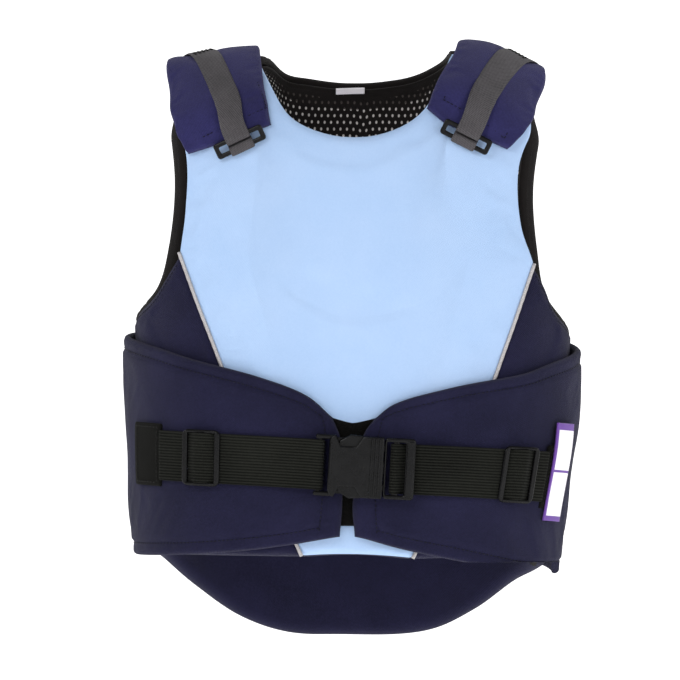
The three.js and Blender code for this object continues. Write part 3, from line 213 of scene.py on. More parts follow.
@dataclass
class BodyForm:
    """The inside surface of the vest, and the distances that everything else is laid out in."""

    length: float = 455.0
    half_width: float = 180.0
    chest_reach: float = 78.0
    back_reach: float = 70.0
    shoulder_fall: float = 25.0
    inner_half: float = 152.9
    section_power: float = 2.4
    fall_fade: float = 0.33
    side_spread: float = 0.11
    back_line: tuple[tuple[float, float], ...] = (
        (1.006, 1.032), (0.866, 0.95), (0.66, 0.92), (0.484, 0.99),
        (0.286, 1), (0.13, 0.86), (0.045, 0.65), (0.012, 0.36),
    )
    front_line: tuple[tuple[float, float], ...] = (
        (0.013, 0.28), (0.05, 0.51), (0.132, 0.73), (0.33, 0.93), (0.505, 1), (0.66, 0.98), (0.87, 0.9),
    )
    sections: tuple[tuple[float, float, float], ...] = (
        (-0.05, 1.21, 1.21), (0.13, 1.145, 1.145), (0.33, 1.05, 1.05), (0.475, 1.007, 1.007),
        (0.66, 1.01, 0.992), (0.86, 0.968, 0.905), (1.02, 0.935, 0.89),
    )
    fall_left: tuple[tuple[float, float], ...] = ((0, 0), (0.4, 0.12), (0.6, 0.3), (0.83, 0.62), (1, 0.9))
    fall_right: tuple[tuple[float, float], ...] = ((0, 0), (0.4, -0.04), (0.6, 0.08), (0.83, 0.8), (1, 1.3))

    def __post_init__(self) -> None:
        """Traces the line down the back, over the ridge and down the front."""
        back = [(reach * self.back_reach, -down * self.length) for down, reach in self.back_line]
        front = [(-reach * self.chest_reach, -down * self.length) for down, reach in self.front_line]
        line = smooth_line(np.array([*back, (0, 0), *front]), 160)
        run = lengths_along(line)
        self.run = run[-1]
        self._at = np.linspace(0, self.run, 901)
        self._line = np.stack([np.interp(self._at, run, column) for column in line.T], -1)
        tangent = unit(np.gradient(self._line, axis=0))
        self._normal = np.stack([tangent[:, 1], -tangent[:, 0]], -1)
        self.ridge = self._at[np.argmax(self._line[:, 1])]
        self._half = tuple(profile([(row[0], row[side]) for row in self.sections]) for side in (1, 2))
        self._fall = (profile(self.fall_left), profile(self.fall_right))

    def read(self, station: Points) -> tuple[Points, Points, Points, Points]:
        """The body line's y and z and its outward normal's y and z at stations in mm."""
        columns = (self._line[:, 0], self._line[:, 1], self._normal[:, 0], self._normal[:, 1])
        return tuple(np.interp(station, self._at, column) for column in columns)

    def fall_at(self, x: Points, z: Points) -> Points:
        """How far the shoulder drops at a place.

        Args:
            x: place across in mm.
            z: height in mm.

        Returns:
            The drop in mm.
        """
        across = np.abs(x) / self.half_width
        share = np.where(x < 0, self._fall[0](across), self._fall[1](across))
        return self.shoulder_fall * share * (1 - smoothstep(-z, 0, self.fall_fade * self.length))

    def half_at(self, z: Points, out: Points, side: Points) -> Points:
        """Half width of the section.

        Args:
            z: height.
            out: distance from the inside.
            side: below 0 on the left.

        Returns:
            Half widths in mm.
        """
        spread = smoothstep(-z, 0, self.side_spread * self.length)
        left, right = (half(-z / self.length) for half in self._half)
        return self.inner_half * np.where(np.asarray(side) < 0, left, right) + out * spread

    def point(self, turn: Points, station: Points, out: Points) -> Points:
        """Points on the torso.

        Args:
            turn: angle from the centre line in radians.
            station: its station in mm.
            out: distance from the inside surface in mm.

        Returns:
            Points in mm, with the coordinates last.
        """
        y, z, normal_y, normal_z = self.read(station)
        z = z + out * normal_z
        sine, cosine = np.sin(turn), np.cos(turn)
        power = 2 / self.section_power
        x = self.half_at(z, out, sine) * np.sign(sine) * np.abs(sine) ** power
        y = (y + out * normal_y) * np.sign(cosine) * np.abs(cosine) ** power
        return np.stack(np.broadcast_arrays(x, y, z - self.fall_at(x, z)), -1)

    def turn_at(self, x: Points, z: Points, out: Points) -> Points:
        """The turn of a place across the section at a height."""
        share = np.minimum(np.abs(x) / self.half_at(z, out, x), 1)
        return np.sign(x) * np.arcsin(share ** (self.section_power / 2))

    def height_at(self, x: Points, station: Points, out: Points) -> Pair:
        """A layer's height at a station, before and after the shoulder's fall.

        Args:
            x: place across in mm.
            station: its station in mm.
            out: how far out in mm.

        Returns:
            Both heights in mm.
        """
        _, z, _, normal_z = self.read(station)
        z = z + out * normal_z
        return z, z - self.fall_at(x, z)

    def station_at(self, x: Points, z: Points, out: Points, end: Points) -> Points:
        """The station between the ridge and one end of the body line where a layer has a height.

        Args:
            x: place across in mm.
            z: height in mm.
            out: how far out in mm.
            end: the station at that end.

        Returns:
            The stations in mm.
        """
        x, z, out, far = np.broadcast_arrays(*(np.asarray(value, float) for value in (x, z, out, end)))
        near = np.full(far.shape, self.ridge)
        for _ in range(32):
            middle = (near + far) / 2
            above = self.height_at(x, middle, out)[1] > z
            near, far = np.where(above, middle, near), np.where(above, far, middle)
        return (near + far) / 2

    def ring_point(self, turn: Points, level: Points, out: Points) -> Points:
        """Points at a turn right round the body, 0 at the front, and a height.

        Args:
            turn: its turn in radians.
            level: height in mm.
            out: how far out in mm.

        Returns:
            Points in mm.
        """
        turn, level, out = np.broadcast_arrays(*(np.asarray(value, float) for value in (turn, level, out)))
        front = np.abs(turn) <= math.pi / 2
        from_centre = np.where(front, turn, np.sign(turn) * (math.pi - np.abs(turn)))
        station = self.station_at(0, level, out, np.where(front, self.run, 0))
        return self.point(from_centre, station, out)

    def face_point(self, x: Points, station: Points, out: Points) -> Points:
        """Points at a place across in mm and a station."""
        return self.point(self.turn_at(x, self.height_at(x, station, out)[0], out), station, out)

    def spots(self, rows: Sequence[Spot], out: float, front: bool = True) -> Points:
        """Turns a table of spots into (turn times half width, station) rows.

        Args:
            rows: the table.
            out: the layer the spots lie on.
            front: whether they lie on the front of the vest.

        Returns:
            One row of two numbers for each spot.
        """
        end = self.run if front else 0.0
        made = []
        for row in (Spot(*values) for values in rows):
            level = -row.down * self.length
            if row.turn is not None:
                turn = row.turn if front else math.copysign(180 - abs(row.turn), row.turn)
                station = float(self.station_at(0, level, out, end))
                made.append((math.radians(turn) * self.half_width, station))
                continue
            x = row.across * self.half_width
            station = self.ridge - row.over if row.over is not None else self.station_at(x, level, out, end)
            turn = self.turn_at(x, self.height_at(x, station, out)[0], out)
            made.append((float(turn) * self.half_width, float(station)))
        return np.array(made)

    def ring_spots(self, rows: Sequence[Spot], out: float) -> Points:
        """The same for places right round the body, as (turn times half width, level).

        Args:
            rows: the table of places.
            out: how far out in mm.

        Returns:
            One row of two numbers for each place.
        """
        made = []
        for row in (Spot(*values) for values in rows):
            level = -row.down * self.length
            turn = self.turn_at(row.across * self.half_width, level, out)
            made.append(((math.radians(row.turn) if row.turn is not None else turn) * self.half_width, level))
        return np.array(made, float)


BODY = BodyForm()


# Meshes


def make_object(
    name: str,
    points: Points,
    faces: Sequence[Sequence[int]],
    materials: Sequence[Material],
    flat: Points | None = None,
    zones: Points | None = None,
    crease: float | None = None,
) -> Thing:
    """Makes a smooth mesh object from points in mm.

    Args:
        name: the piece's name.
        points: its corners in mm.
        faces: indices of each face's corners.
        materials: its materials.
        flat: where each corner lies on the flat cloth, in mm, for weaves.
        zones: the material index of each face.
        crease: angle in degrees above which an edge stays sharp.

    Returns:
        The new object, in the scene.
    """
    mesh = bpy.data.meshes.new(name)
    mesh.from_pydata((np.asarray(points, float) * MM).tolist(), [], [list(map(int, face)) for face in faces])
    for material in materials:
        mesh.materials.append(material)
    if flat is not None:
        layer = mesh.uv_layers.new(name="Cloth")
        corners = np.empty(len(mesh.loops), int)
        mesh.loops.foreach_get("vertex_index", corners)
        layer.data.foreach_set("uv", (np.asarray(flat, float) * MM)[corners].ravel())
    if zones is not None:
        mesh.polygons.foreach_set("material_index", np.asarray(zones, int))
    mesh.shade_smooth()
    if crease is not None:
        mesh.set_sharp_from_angle(angle=math.radians(crease))
    mesh.validate()
    thing = bpy.data.objects.new(name, mesh)
    bpy.context.scene.collection.objects.link(thing)
    return thing


def grid_faces(rows: int, columns: int, start: int = 0, flip: bool = False) -> Points:
    """Faces of a grid of corners that are numbered row by row.

    Args:
        rows: how many rows it has.
        columns: how many columns.
        start: the first corner's number.
        flip: whether to turn the faces over.

    Returns:
        Four corners for each face.
    """
    j, i = np.meshgrid(np.arange(rows - 1), np.arange(columns - 1), indexing="ij")
    a = start + j * columns + i
    quads = np.stack([a, a + 1, a + columns + 1, a + columns], -1).reshape(-1, 4)
    return quads[:, ::-1] if flip else quads


def rim_faces(rows: int, columns: int) -> Points:
    """Faces that close the gap between the borders of two grids, the outer one numbered first.

    Args:
        rows: how many rows each grid has.
        columns: how many columns.

    Returns:
        Four corners for each face.
    """
    last = (rows - 1) * columns
    border = np.concatenate([
        np.arange(columns - 1),
        np.arange(rows - 1) * columns + columns - 1,
        last + np.arange(columns - 1, 0, -1),
        np.arange(rows - 1, 0, -1) * columns,
    ])
    after = np.roll(border, -1)
    inner = rows * columns
    return np.stack([after, border, border + inner, after + inner], -1)


def tube_faces(sides: int, rings: int, start: int = 0) -> list[tuple[int, ...]]:
    """Faces round a tube of rings of corners, the first ring numbered from start.

    Args:
        sides: corners in a ring.
        rings: how many rings.
        start: the first corner's number.

    Returns:
        Four corners for each face.
    """
    faces = []
    for first in range(start, start + (rings - 1) * sides, sides):
        ring = [first + k for k in range(sides)]
        faces += [(a, b, b + sides, a + sides) for a, b in zip(ring, ring[1:] + ring[:1])]
    return faces


def skin(
    name: str,
    outer: Points,
    inner: Points,
    materials: Sequence[Material],
    flat: Points | None = None,
    zones: Points | None = None,
) -> Thing:
    """Makes a closed mesh from two grids of points, one for each side of a cloth.

    Args:
        name: the piece's name.
        outer: points of one side in rows and columns, in mm.
        inner: points of the other side.
        materials: its materials.
        flat: where each point lies on the flat cloth, or None to lay out each side by itself.
        zones: the material index of each face: one side's, the other's, then the rim's.

    Returns:
        The new object.
    """
    rows, columns = outer.shape[:2]
    faces = np.vstack([
        grid_faces(rows, columns),
        grid_faces(rows, columns, rows * columns, flip=True),
        rim_faces(rows, columns),
    ])
    points = np.concatenate([outer.reshape(-1, 3), inner.reshape(-1, 3)])
    a, b, c, d = (points[faces[:, k]] for k in range(4))
    volume = np.einsum("ij,ij->", a, np.cross(b, c)) + np.einsum("ij,ij->", a, np.cross(c, d))
    if volume < 0:
        faces = faces[:, ::-1]
    maps = (flat_map(outer), flat_map(inner)) if flat is None else (flat, flat)
    laid = np.concatenate([one.reshape(-1, 2) for one in maps])
    return make_object(name, points, faces, materials, laid, zones)


def flat_map(grid: Points) -> Points:
    """Lays a curved grid of points out flat, keeping distances along it.

    Args:
        grid: points in rows and columns.

    Returns:
        Two flat coordinates for each point, in mm.
    """
    across = np.linalg.norm(np.diff(grid, axis=1), axis=2)
    up = np.linalg.norm(np.diff(grid, axis=0), axis=2)
    u = np.concatenate([np.zeros((len(grid), 1)), np.cumsum(across, axis=1)], 1)
    u -= u[:, [grid.shape[1] // 2]]
    v = np.concatenate([np.zeros((1, grid.shape[1])), np.cumsum(up, axis=0)], 0)
    return np.stack([u, v], -1)


def normals_of(grid: Points) -> Points:
    """Unit normals of a grid of points, pointing away from the vest's middle.

    Args:
        grid: points in rows and columns.

    Returns:
        A vector of length 1 for each point.
    """
    normal = np.cross(np.gradient(grid, axis=1), np.gradient(grid, axis=0))
    normal /= np.maximum(np.linalg.norm(normal, axis=2, keepdims=True), 1e-9)
    middle = grid[grid.shape[0] // 2, grid.shape[1] // 2]
    facing = np.dot(normal[grid.shape[0] // 2, grid.shape[1] // 2], middle * (1, 1, 0))
    return normal if facing > 0 else -normal


class Edge:
    """One side of a panel: smooth runs of points that meet at crisp corners."""

    def __init__(self, *runs: Points, split: float | None = None) -> None:
        """Joins the runs.

        Args:
            runs: rows of (turn times half width, along), each a smooth run.
            split: the share at which two runs meet, where it isn't that of their lengths.
        """
        lines = [smooth_line(np.asarray(run), 30) for run in runs]
        ends = np.cumsum([lengths_along(line)[-1] for line in lines])
        self.line = np.vstack(lines)
        self.run = lengths_along(self.line)
        self.corners = [end / ends[-1] for end in ends[:-1]]
        if split is not None:
            self.run = np.interp(self.run, (0, *ends), (0, split * ends[-1], ends[-1]))
            self.corners = [split]

    def at(self, share: Points) -> Points:
        """Points at shares of the side's length."""
        place = np.clip(share, 0, 1) * self.run[-1]
        return np.stack([np.interp(place, self.run, column) for column in self.line.T], -1)


class Side(Enum):
    """The four sides of a panel's pattern piece."""

    BOTTOM = 0
    TOP = 1
    LEFT = 2
    RIGHT = 3


class Stitch(NamedTuple):
    """A line of machine stitches that runs beside one side of a panel."""

    side: Side
    inset: float
    start: float
    end: float


class Rim(NamedTuple):
    """Where a panel's outer and inner faces end at a side, as shares of its thickness."""

    outer: float = 0.5
    inner: float = 0.4


SEAM = Rim(0.85, 0.12)


class Patch:
    """A panel's pattern piece, between its four sides."""

    def __init__(self, bottom: Edge, top: Edge, left: Edge, right: Edge) -> None:
        """Keeps the four sides."""
        self.bottom, self.top, self.left, self.right = bottom, top, left, right

    def at(self, u: Points, v: Points) -> Pair:
        """Turn in radians and the second coordinate, at shares u along and v up.

        Args:
            u: shares along.
            v: shares up.

        Returns:
            The two coordinates of each point.
        """
        corner = [self.bottom.at(0.0), self.bottom.at(1.0), self.top.at(0.0), self.top.at(1.0)]
        u1, v1 = u[..., None], v[..., None]
        ruled = (1 - v1) * self.bottom.at(u) + v1 * self.top.at(u)
        ruled += (1 - u1) * self.left.at(v) + u1 * self.right.at(v)
        flat = (1 - v1) * ((1 - u1) * corner[0] + u1 * corner[1])
        flat += v1 * ((1 - u1) * corner[2] + u1 * corner[3])
        point = ruled - flat
        return point[..., 0] / BODY.half_width, point[..., 1]


def pattern_lines(length: float, cell: float, radius: float, corners: Sequence[float]) -> Points:
    """Grid lines along one side of a panel, closer together where its edges turn over.

    Args:
        length: the panel's size in mm.
        cell: the usual distance between lines in mm.
        radius: how wide the turned edge is in mm.
        corners: shares that have to lie on a line.

    Returns:
        Shares from 0 to 1.
    """
    turn = np.linspace(0, math.pi / 2, 6)
    edge = radius * (1 - np.cos(turn)) / length
    count = max(int(round((length - 2 * radius) / cell)), 3)
    lines = np.concatenate([edge, np.linspace(edge[-1], 1 - edge[-1], count + 1)[1:-1], 1 - edge[::-1]])
    for corner in corners:
        nearest = 1 + int(np.argmin(np.abs(lines[1:-1] - corner)))
        lines[nearest] = corner
    return lines


@dataclass
class Cover:
    """A padded panel: foam in a sewn cover, as a fine closed mesh.

    Attributes:
        name: the piece's name.
        patch: its pattern piece.
        surface: turns (turn, along, out) into points.
        base: distance of its inner face from the inside of the vest.
        thickness: its thickness.
        materials: outer cloth, inner cloth and any others.
        rims: how each side ends, where it isn't a soft turned edge.
        radius: width of the turned edge.
        cell: distance between mesh lines.
        stitches: lines of stitches on its outer face.
        relief: soft folds, as a distance out at (turn, along).
        slack: how much longer the cover is than the foam under it.
        puff: how far the cover may lift off.
        fill: how full it is; not used.
        zones: picks a material for each outer face from distances to (bottom, top, left, right).
        edging: the material on the rim along the top and the sides.
        turned_in: how far the edging runs over the inside.
        groove: how deep a line of stitches pulls the cover in.
        groove_width: how wide that line's hollow is.
    """

    name: str
    patch: Patch
    surface: Place
    base: Field
    thickness: Field
    materials: Sequence[Material]
    rims: dict[Side, Rim] = field(default_factory=dict)
    radius: float = 8.0
    cell: float = 3.2
    stitches: Sequence[Stitch] = ()
    relief: Field | None = None
    slack: float = 0.012
    puff: float = 2.0
    fill: float = 0.8
    zones: Callable[[Sequence[Points]], Points] | None = None
    edging: int | None = None
    turned_in: float = 22.0
    groove: float = 1.1
    groove_width: float = 1.7

    def _distances(self) -> list[Points]:
        """Distance of every grid point from each side, in mm.

        Returns:
            One grid of distances for each side, in the order of Side.
        """
        coarse = np.linspace(0, 1, 13)
        u, v = np.meshgrid(coarse, coarse)
        turn, along = self.patch.at(u, v)
        points = self.surface(turn, along, self.base(turn, along))
        widths = np.linalg.norm(np.diff(points, axis=1), axis=2).sum(1)
        heights = np.linalg.norm(np.diff(points, axis=0), axis=2).sum(0)
        mean = (widths.mean(), heights.mean())
        patch = self.patch
        self.us = pattern_lines(mean[0], self.cell, self.radius, patch.bottom.corners + patch.top.corners)
        self.vs = pattern_lines(mean[1], self.cell, self.radius, patch.left.corners + patch.right.corners)
        self.u, self.v = np.meshgrid(self.us, self.vs)
        width = np.interp(self.v, coarse, widths)
        height = np.interp(self.u, coarse, heights)
        self._width, self._height = (coarse, widths), (coarse, heights)
        return [self.v * height, (1 - self.v) * height, self.u * width, (1 - self.u) * width]

    def build(self) -> Thing:
        """Builds, settles and sews the panel.

        Returns:
            The padded piece, riding on the vest.
        """
        distances = self._distances()
        turn, along = self.patch.at(self.u, self.v)
        outer, inner = np.ones(turn.shape), np.ones(turn.shape)
        for side, distance in zip(Side, distances):
            rim = self.rims.get(side, Rim())
            rise = np.sqrt(np.clip(1 - (1 - np.minimum(distance / self.radius, 1)) ** 2, 0, 1))
            outer *= mix(rim.outer, 1, rise)
            inner *= 1 - rim.inner * (1 - rise)
        base, thickness = self.base(turn, along), self.thickness(turn, along)
        lift = np.zeros(turn.shape) if self.relief is None else self.relief(turn, along)
        lift = lift * smoothstep(np.minimum.reduce(distances), 0, 3 * self.radius)
        held = np.zeros(turn.shape, bool)
        for stitch in self.stitches:
            span = self.u if stitch.side in (Side.BOTTOM, Side.TOP) else self.v
            off = np.abs(distances[stitch.side.value] - stitch.inset)
            inside = smoothstep(span, stitch.start - 0.02, stitch.start) * (
                1 - smoothstep(span, stitch.end, stitch.end + 0.02)
            )
            lift = lift - self.groove * inside * np.exp(-((off / self.groove_width) ** 2))
            held |= (off < 0.6 * self.cell) & (inside > 0.5)
        self.outer = self.surface(turn, along, base + thickness * outer + lift)
        low = self.surface(turn, along, base + thickness * (1 - inner))
        held |= np.minimum.reduce(distances) < 0.4 * self.radius
        if self.slack > 0:
            self.outer = settle(self.outer, held, self.slack, self.puff)
        rows, columns = turn.shape
        cells = (rows - 1) * (columns - 1)
        zones = np.full(2 * (cells + rows + columns - 2), 1)
        zones[:cells] = 0
        middles = [0.25 * (d[1:, 1:] + d[:-1, 1:] + d[1:, :-1] + d[:-1, :-1]) for d in distances]
        if self.zones is not None:
            zones[:cells] = self.zones(middles).ravel()
        if self.edging is not None:
            near = np.minimum.reduce(middles[1:]).ravel() < self.turned_in
            zones[cells : 2 * cells][near] = self.edging
            zones[2 * cells + columns - 1 :] = self.edging
        piece = skin(self.name, self.outer, low, self.materials, zones=zones)
        return piece

    def on_face(self, u: Points, v: Points) -> Pair:
        """Points of the finished outer face, and its normals, at shares u and v.

        Args:
            u: shares along.
            v: shares up.

        Returns:
            Points, and normals of length 1.
        """
        grids = (self.outer, normals_of(self.outer))
        i = np.interp(u, self.us, np.arange(len(self.us)))
        j = np.interp(v, self.vs, np.arange(len(self.vs)))
        i0 = np.clip(i.astype(int), 0, len(self.us) - 2)
        j0 = np.clip(j.astype(int), 0, len(self.vs) - 2)
        s, t = (i - i0)[:, None], (j - j0)[:, None]
        read = []
        for grid in grids:
            low = mix(grid[j0, i0], grid[j0, i0 + 1], s)
            high = mix(grid[j0 + 1, i0], grid[j0 + 1, i0 + 1], s)
            read.append(mix(low, high, t))
        return read[0], read[1]

    def stitch_path(self, stitch: Stitch) -> Pair:
        """Points and normals along one line of stitches.

        Args:
            stitch: the line.

        Returns:
            Points and normals.
        """
        span = np.linspace(stitch.start, stitch.end, 240)
        sizes = self._height if stitch.side in (Side.BOTTOM, Side.TOP) else self._width
        inset = stitch.inset / np.interp(span, *sizes)
        across = inset if stitch.side in (Side.BOTTOM, Side.LEFT) else 1 - inset
        if stitch.side in (Side.BOTTOM, Side.TOP):
            return self.on_face(span, across)
        return self.on_face(across, span)


def settle(grid: Points, held: Points, slack: float, puff: float) -> Points:
    """Lets a cover that is a little too large for its foam settle between its seams.

    Args:
        grid: the cover's points in rows and columns, in mm.
        held: which of them are sewn down.
        slack: how much longer the cloth is than the surface under it.
        puff: the most that a point may move, in mm.

    Returns:
        The settled points.
    """
    rows, columns = held.shape
    cover = make_object("cover", grid.reshape(-1, 3), grid_faces(rows, columns), [])
    group = cover.vertex_groups.new(name="sewn")
    group.add([int(i) for i in np.flatnonzero(held.ravel())], 1.0, "REPLACE")
    cloth = cover.modifiers.new("cover", "CLOTH")
    cloth.settings.vertex_group_mass = "sewn"
    cloth.settings.quality = 4
    cloth.settings.mass = 0.25
    cloth.settings.tension_stiffness = 20
    cloth.settings.compression_stiffness = 20
    cloth.settings.bending_stiffness = 0.6
    cloth.settings.shrink_min = -slack
    cloth.settings.effector_weights.gravity = 0
    cloth.collision_settings.use_collision = False
    frames = 12
    cloth.point_cache.frame_end = frames
    scene = bpy.context.scene
    for frame in range(1, frames + 1):
        scene.frame_set(frame)
    shown = cover.evaluated_get(bpy.context.evaluated_depsgraph_get())
    moved = np.empty(3 * rows * columns)
    shown.data.vertices.foreach_get("co", moved)
    bpy.data.objects.remove(cover)
    scene.frame_set(1)
    step = moved.reshape(grid.shape) / MM - grid
    normal = normals_of(grid)
    lift = (step * normal).sum(2)
    lift = np.where(lift > 0, puff * np.tanh(lift / puff), 0.5 * puff * np.tanh(2 * lift / puff))
    return grid + normal * lift[..., None]


def sew(name: str, paths: Sequence[Pair], material: Material) -> Thing:
    """Lays machine stitches along paths, as small rounded threads that dip into the cloth.

    Args:
        name: the piece's name.
        paths: points and normals of each line.
        material: the thread.

    Returns:
        One joined mesh of all the stitches.
    """
    length, pitch, radius, sides = 2.7, 3.5, 0.42, 6
    rings = np.array([(-0.5, 0.35, -0.35), (-0.3, 1.0, 0.22), (0.3, 1.0, 0.22), (0.5, 0.35, -0.35)])
    around = np.linspace(0, 2 * math.pi, sides, endpoint=False)
    corners, faces = [], []
    for points, normals in paths:
        run = lengths_along(points)
        for place in np.arange(pitch / 2, run[-1] - length / 2, pitch):
            centre = np.array([np.interp(place, run, column) for column in points.T])
            ahead = np.array([np.interp(place + 0.5, run, column) for column in points.T])
            normal = np.array([np.interp(place, run, column) for column in normals.T])
            along = unit(ahead - centre)
            beside = np.cross(along, normal)
            start = len(corners) * sides
            for share, size, lift in rings:
                middle = centre + along * share * length + normal * lift
                spread = radius * size
                corners.append(
                    middle
                    + np.outer(np.cos(around), beside) * spread
                    + np.outer(np.sin(around), normal) * spread
                )
            faces += tube_faces(sides, len(rings), start)
            faces.append(tuple(range(start + sides - 1, start - 1, -1)))
            end = start + (len(rings) - 1) * sides
            faces.append(tuple(range(end, end + sides)))
    return make_object(name, np.concatenate(corners), faces, [material])


def webbing_piece(
    name: str,
    path: Points,
    width: float,
    thickness: float,
    place: Place,
    material: Material,
    step: float = 1.6,
    columns: int = 14,
) -> Thing:
    """A woven strap: a flat ribbon with rounded edges that follows a path.

    Args:
        name: the piece's name.
        path: rows of (along, out).
        width: its width.
        thickness: its thickness.
        place: turns (along, across, out) into points.
        material: the webbing.
        step: distance between mesh lines along it.
        columns: how many mesh lines run along it.

    Returns:
        The strap, riding on the vest.
    """
    line = resample(smooth_line(path, 10), step)
    tangent = unit(np.gradient(line, axis=0))
    normal = np.stack([-tangent[:, 1], tangent[:, 0]], -1)
    edge = np.sin(np.linspace(-math.pi / 2, math.pi / 2, columns))
    across = width / 2 * mix(np.linspace(-1, 1, columns), edge, 0.35)
    beyond = np.clip((np.abs(across) - (width / 2 - thickness)) / thickness, 0, 1)
    half = thickness / 2 * np.sqrt(1 - 0.94 * beyond**2)
    sheets = []
    for sign in (1, -1):
        along = line[:, None, 0] + sign * normal[:, None, 0] * half[None]
        out = line[:, None, 1] + sign * normal[:, None, 1] * half[None]
        sheets.append(place(along, np.broadcast_to(across, along.shape), out))
    flat = np.stack(np.broadcast_arrays(lengths_along(line)[:, None], across[None]), -1)
    return skin(name, *sheets, [material], flat)


def rounded_outline(low: tuple[float, float], high: tuple[float, float], radius: float) -> Points:
    """A rectangle with round corners, as points.

    Args:
        low: its lowest corner.
        high: its highest corner.
        radius: radius of its corners.

    Returns:
        Points anticlockwise round it.
    """
    corners = ((low[0], low[1], 180), (high[0], low[1], 270), (high[0], high[1], 0), (low[0], high[1], 90))
    centre = (np.array(low) + np.array(high)) / 2
    made = []
    for x, y, start in corners:
        inward = np.sign(centre - (x, y)) * radius
        for angle in np.radians(np.linspace(start, start + 90, 6)):
            made.append((x + inward[0] + radius * math.cos(angle), y + inward[1] + radius * math.sin(angle)))
    return np.array(made)


def moulded(
    outline: Points,
    holes: Sequence[Points],
    low: float,
    high: float,
    edge: float,
) -> Plate:
    """A moulded plate with rounded edges, from an outline and its holes.

    Args:
        outline: the outer line, as (along, across) points.
        holes: lines of the same kind round each hole.
        low: height of its underside.
        high: height of its top.
        edge: radius of its edges.

    Returns:
        Points as (along, across, out), and faces.
    """
    curve = bpy.data.curves.new("plate", "CURVE")
    curve.dimensions = "2D"
    curve.fill_mode = "BOTH"
    curve.extrude = (high - low) / 2 - edge
    curve.bevel_depth = edge
    curve.bevel_resolution = 2
    curve.offset = -edge
    for line in (outline, *holes):
        spline = curve.splines.new("POLY")
        spline.points.add(len(line) - 1)
        for point, (x, y) in zip(spline.points, line):
            point.co = (x, y, 0, 1)
        spline.use_cyclic_u = True
    holder = bpy.data.objects.new("plate", curve)
    bpy.context.scene.collection.objects.link(holder)
    mesh = bpy.data.meshes.new_from_object(holder.evaluated_get(bpy.context.evaluated_depsgraph_get()))
    points = np.array([vertex.co for vertex in mesh.vertices], float)
    points[:, 2] += (low + high) / 2
    faces = [tuple(polygon.vertices) for polygon in mesh.polygons]
    bpy.data.objects.remove(holder)
    return points, faces


def block(
    low: tuple[float, float], high: tuple[float, float], radius: float, span: tuple[float, float], edge: float
) -> Plate:
    """A moulded block between two corners in plan and two heights, with round corners and edges."""
    return moulded(rounded_outline(low, high, radius), [], *span, edge)


def moulded_piece(
    name: str,
    parts: Sequence[Plate],
    place: Place,
    material: Material,
) -> Thing:
    """Joins moulded plates into one piece and lays it on the vest.

    Args:
        name: its name.
        parts: the plates.
        place: turns (along, across, out) into points.
        material: the plastic.

    Returns:
        The piece.
    """
    points, faces = [], []
    start = 0
    for corners, cells in parts:
        points.append(corners)
        faces.extend(tuple(start + i for i in cell) for cell in cells)
        start += len(corners)
    joined = np.concatenate(points)
    laid = place(joined[:, 0], joined[:, 1], joined[:, 2])
    return make_object(name, laid, faces, [material], flat=joined[:, :2], crease=40)


def round_bar(along: float, out: float, half_length: float, half_height: float, bend: float) -> Points:
    """A half turn of webbing round a bar, from above it to below it, as (along, out) rows.

    Args:
        along: the bar's middle.
        out: its height.
        half_length: half its size along the webbing.
        half_height: half its thickness.
        bend: how far the webbing's middle runs off it.

    Returns:
        The rows, from the top layer to the bottom one.
    """
    quarter = [(along, out + half_height + bend), (along - half_length, out + half_height + bend)]
    for angle in np.radians((22, 45, 68)):
        quarter.append((
            along - half_length - bend * math.sin(angle),
            out + half_height + bend * math.cos(angle),
        ))
    quarter.append((along - half_length - bend, out + half_height))
    lower = [(a, 2 * out - o) for a, o in reversed(quarter)]
    return np.array(quarter + lower)


# Finishes


def linear(colour: str) -> tuple[float, float, float, float]:
    """Turns an sRGB hex colour into linear light.

    Args:
        colour: six hex digits.

    Returns:
        Red, green, blue and alpha.
    """
    shares = [int(colour[i : i + 2], 16) / 255 for i in (0, 2, 4)]
    light = [c / 12.92 if c <= 0.04045 else ((c + 0.055) / 1.055) ** 2.4 for c in shares]
    return (*light, 1.0)


def add_node(
    tree: bpy.types.NodeTree, kind: str, inputs: dict | None = None, **settings: object
) -> bpy.types.Node:
    """Adds a node with its settings, and fills or links its inputs.

    Args:
        tree: the node tree.
        kind: the node's type.
        inputs: values or sockets, by input name or number.
        settings: the node's own settings.

    Returns:
        The node.
    """
    node = tree.nodes.new(kind)
    for name, value in settings.items():
        setattr(node, name, value)
    for name, value in (inputs or {}).items():
        if isinstance(value, Socket):
            tree.links.new(value, node.inputs[name])
        else:
            node.inputs[name].default_value = value
    return node


class Weave(Enum):
    """How a cloth's threads lie."""

    PLAIN = "plain"
    TWILL = "twill"
    RIBBED = "ribbed"
    BASKET = "basket"
    PLUSH = "plush"


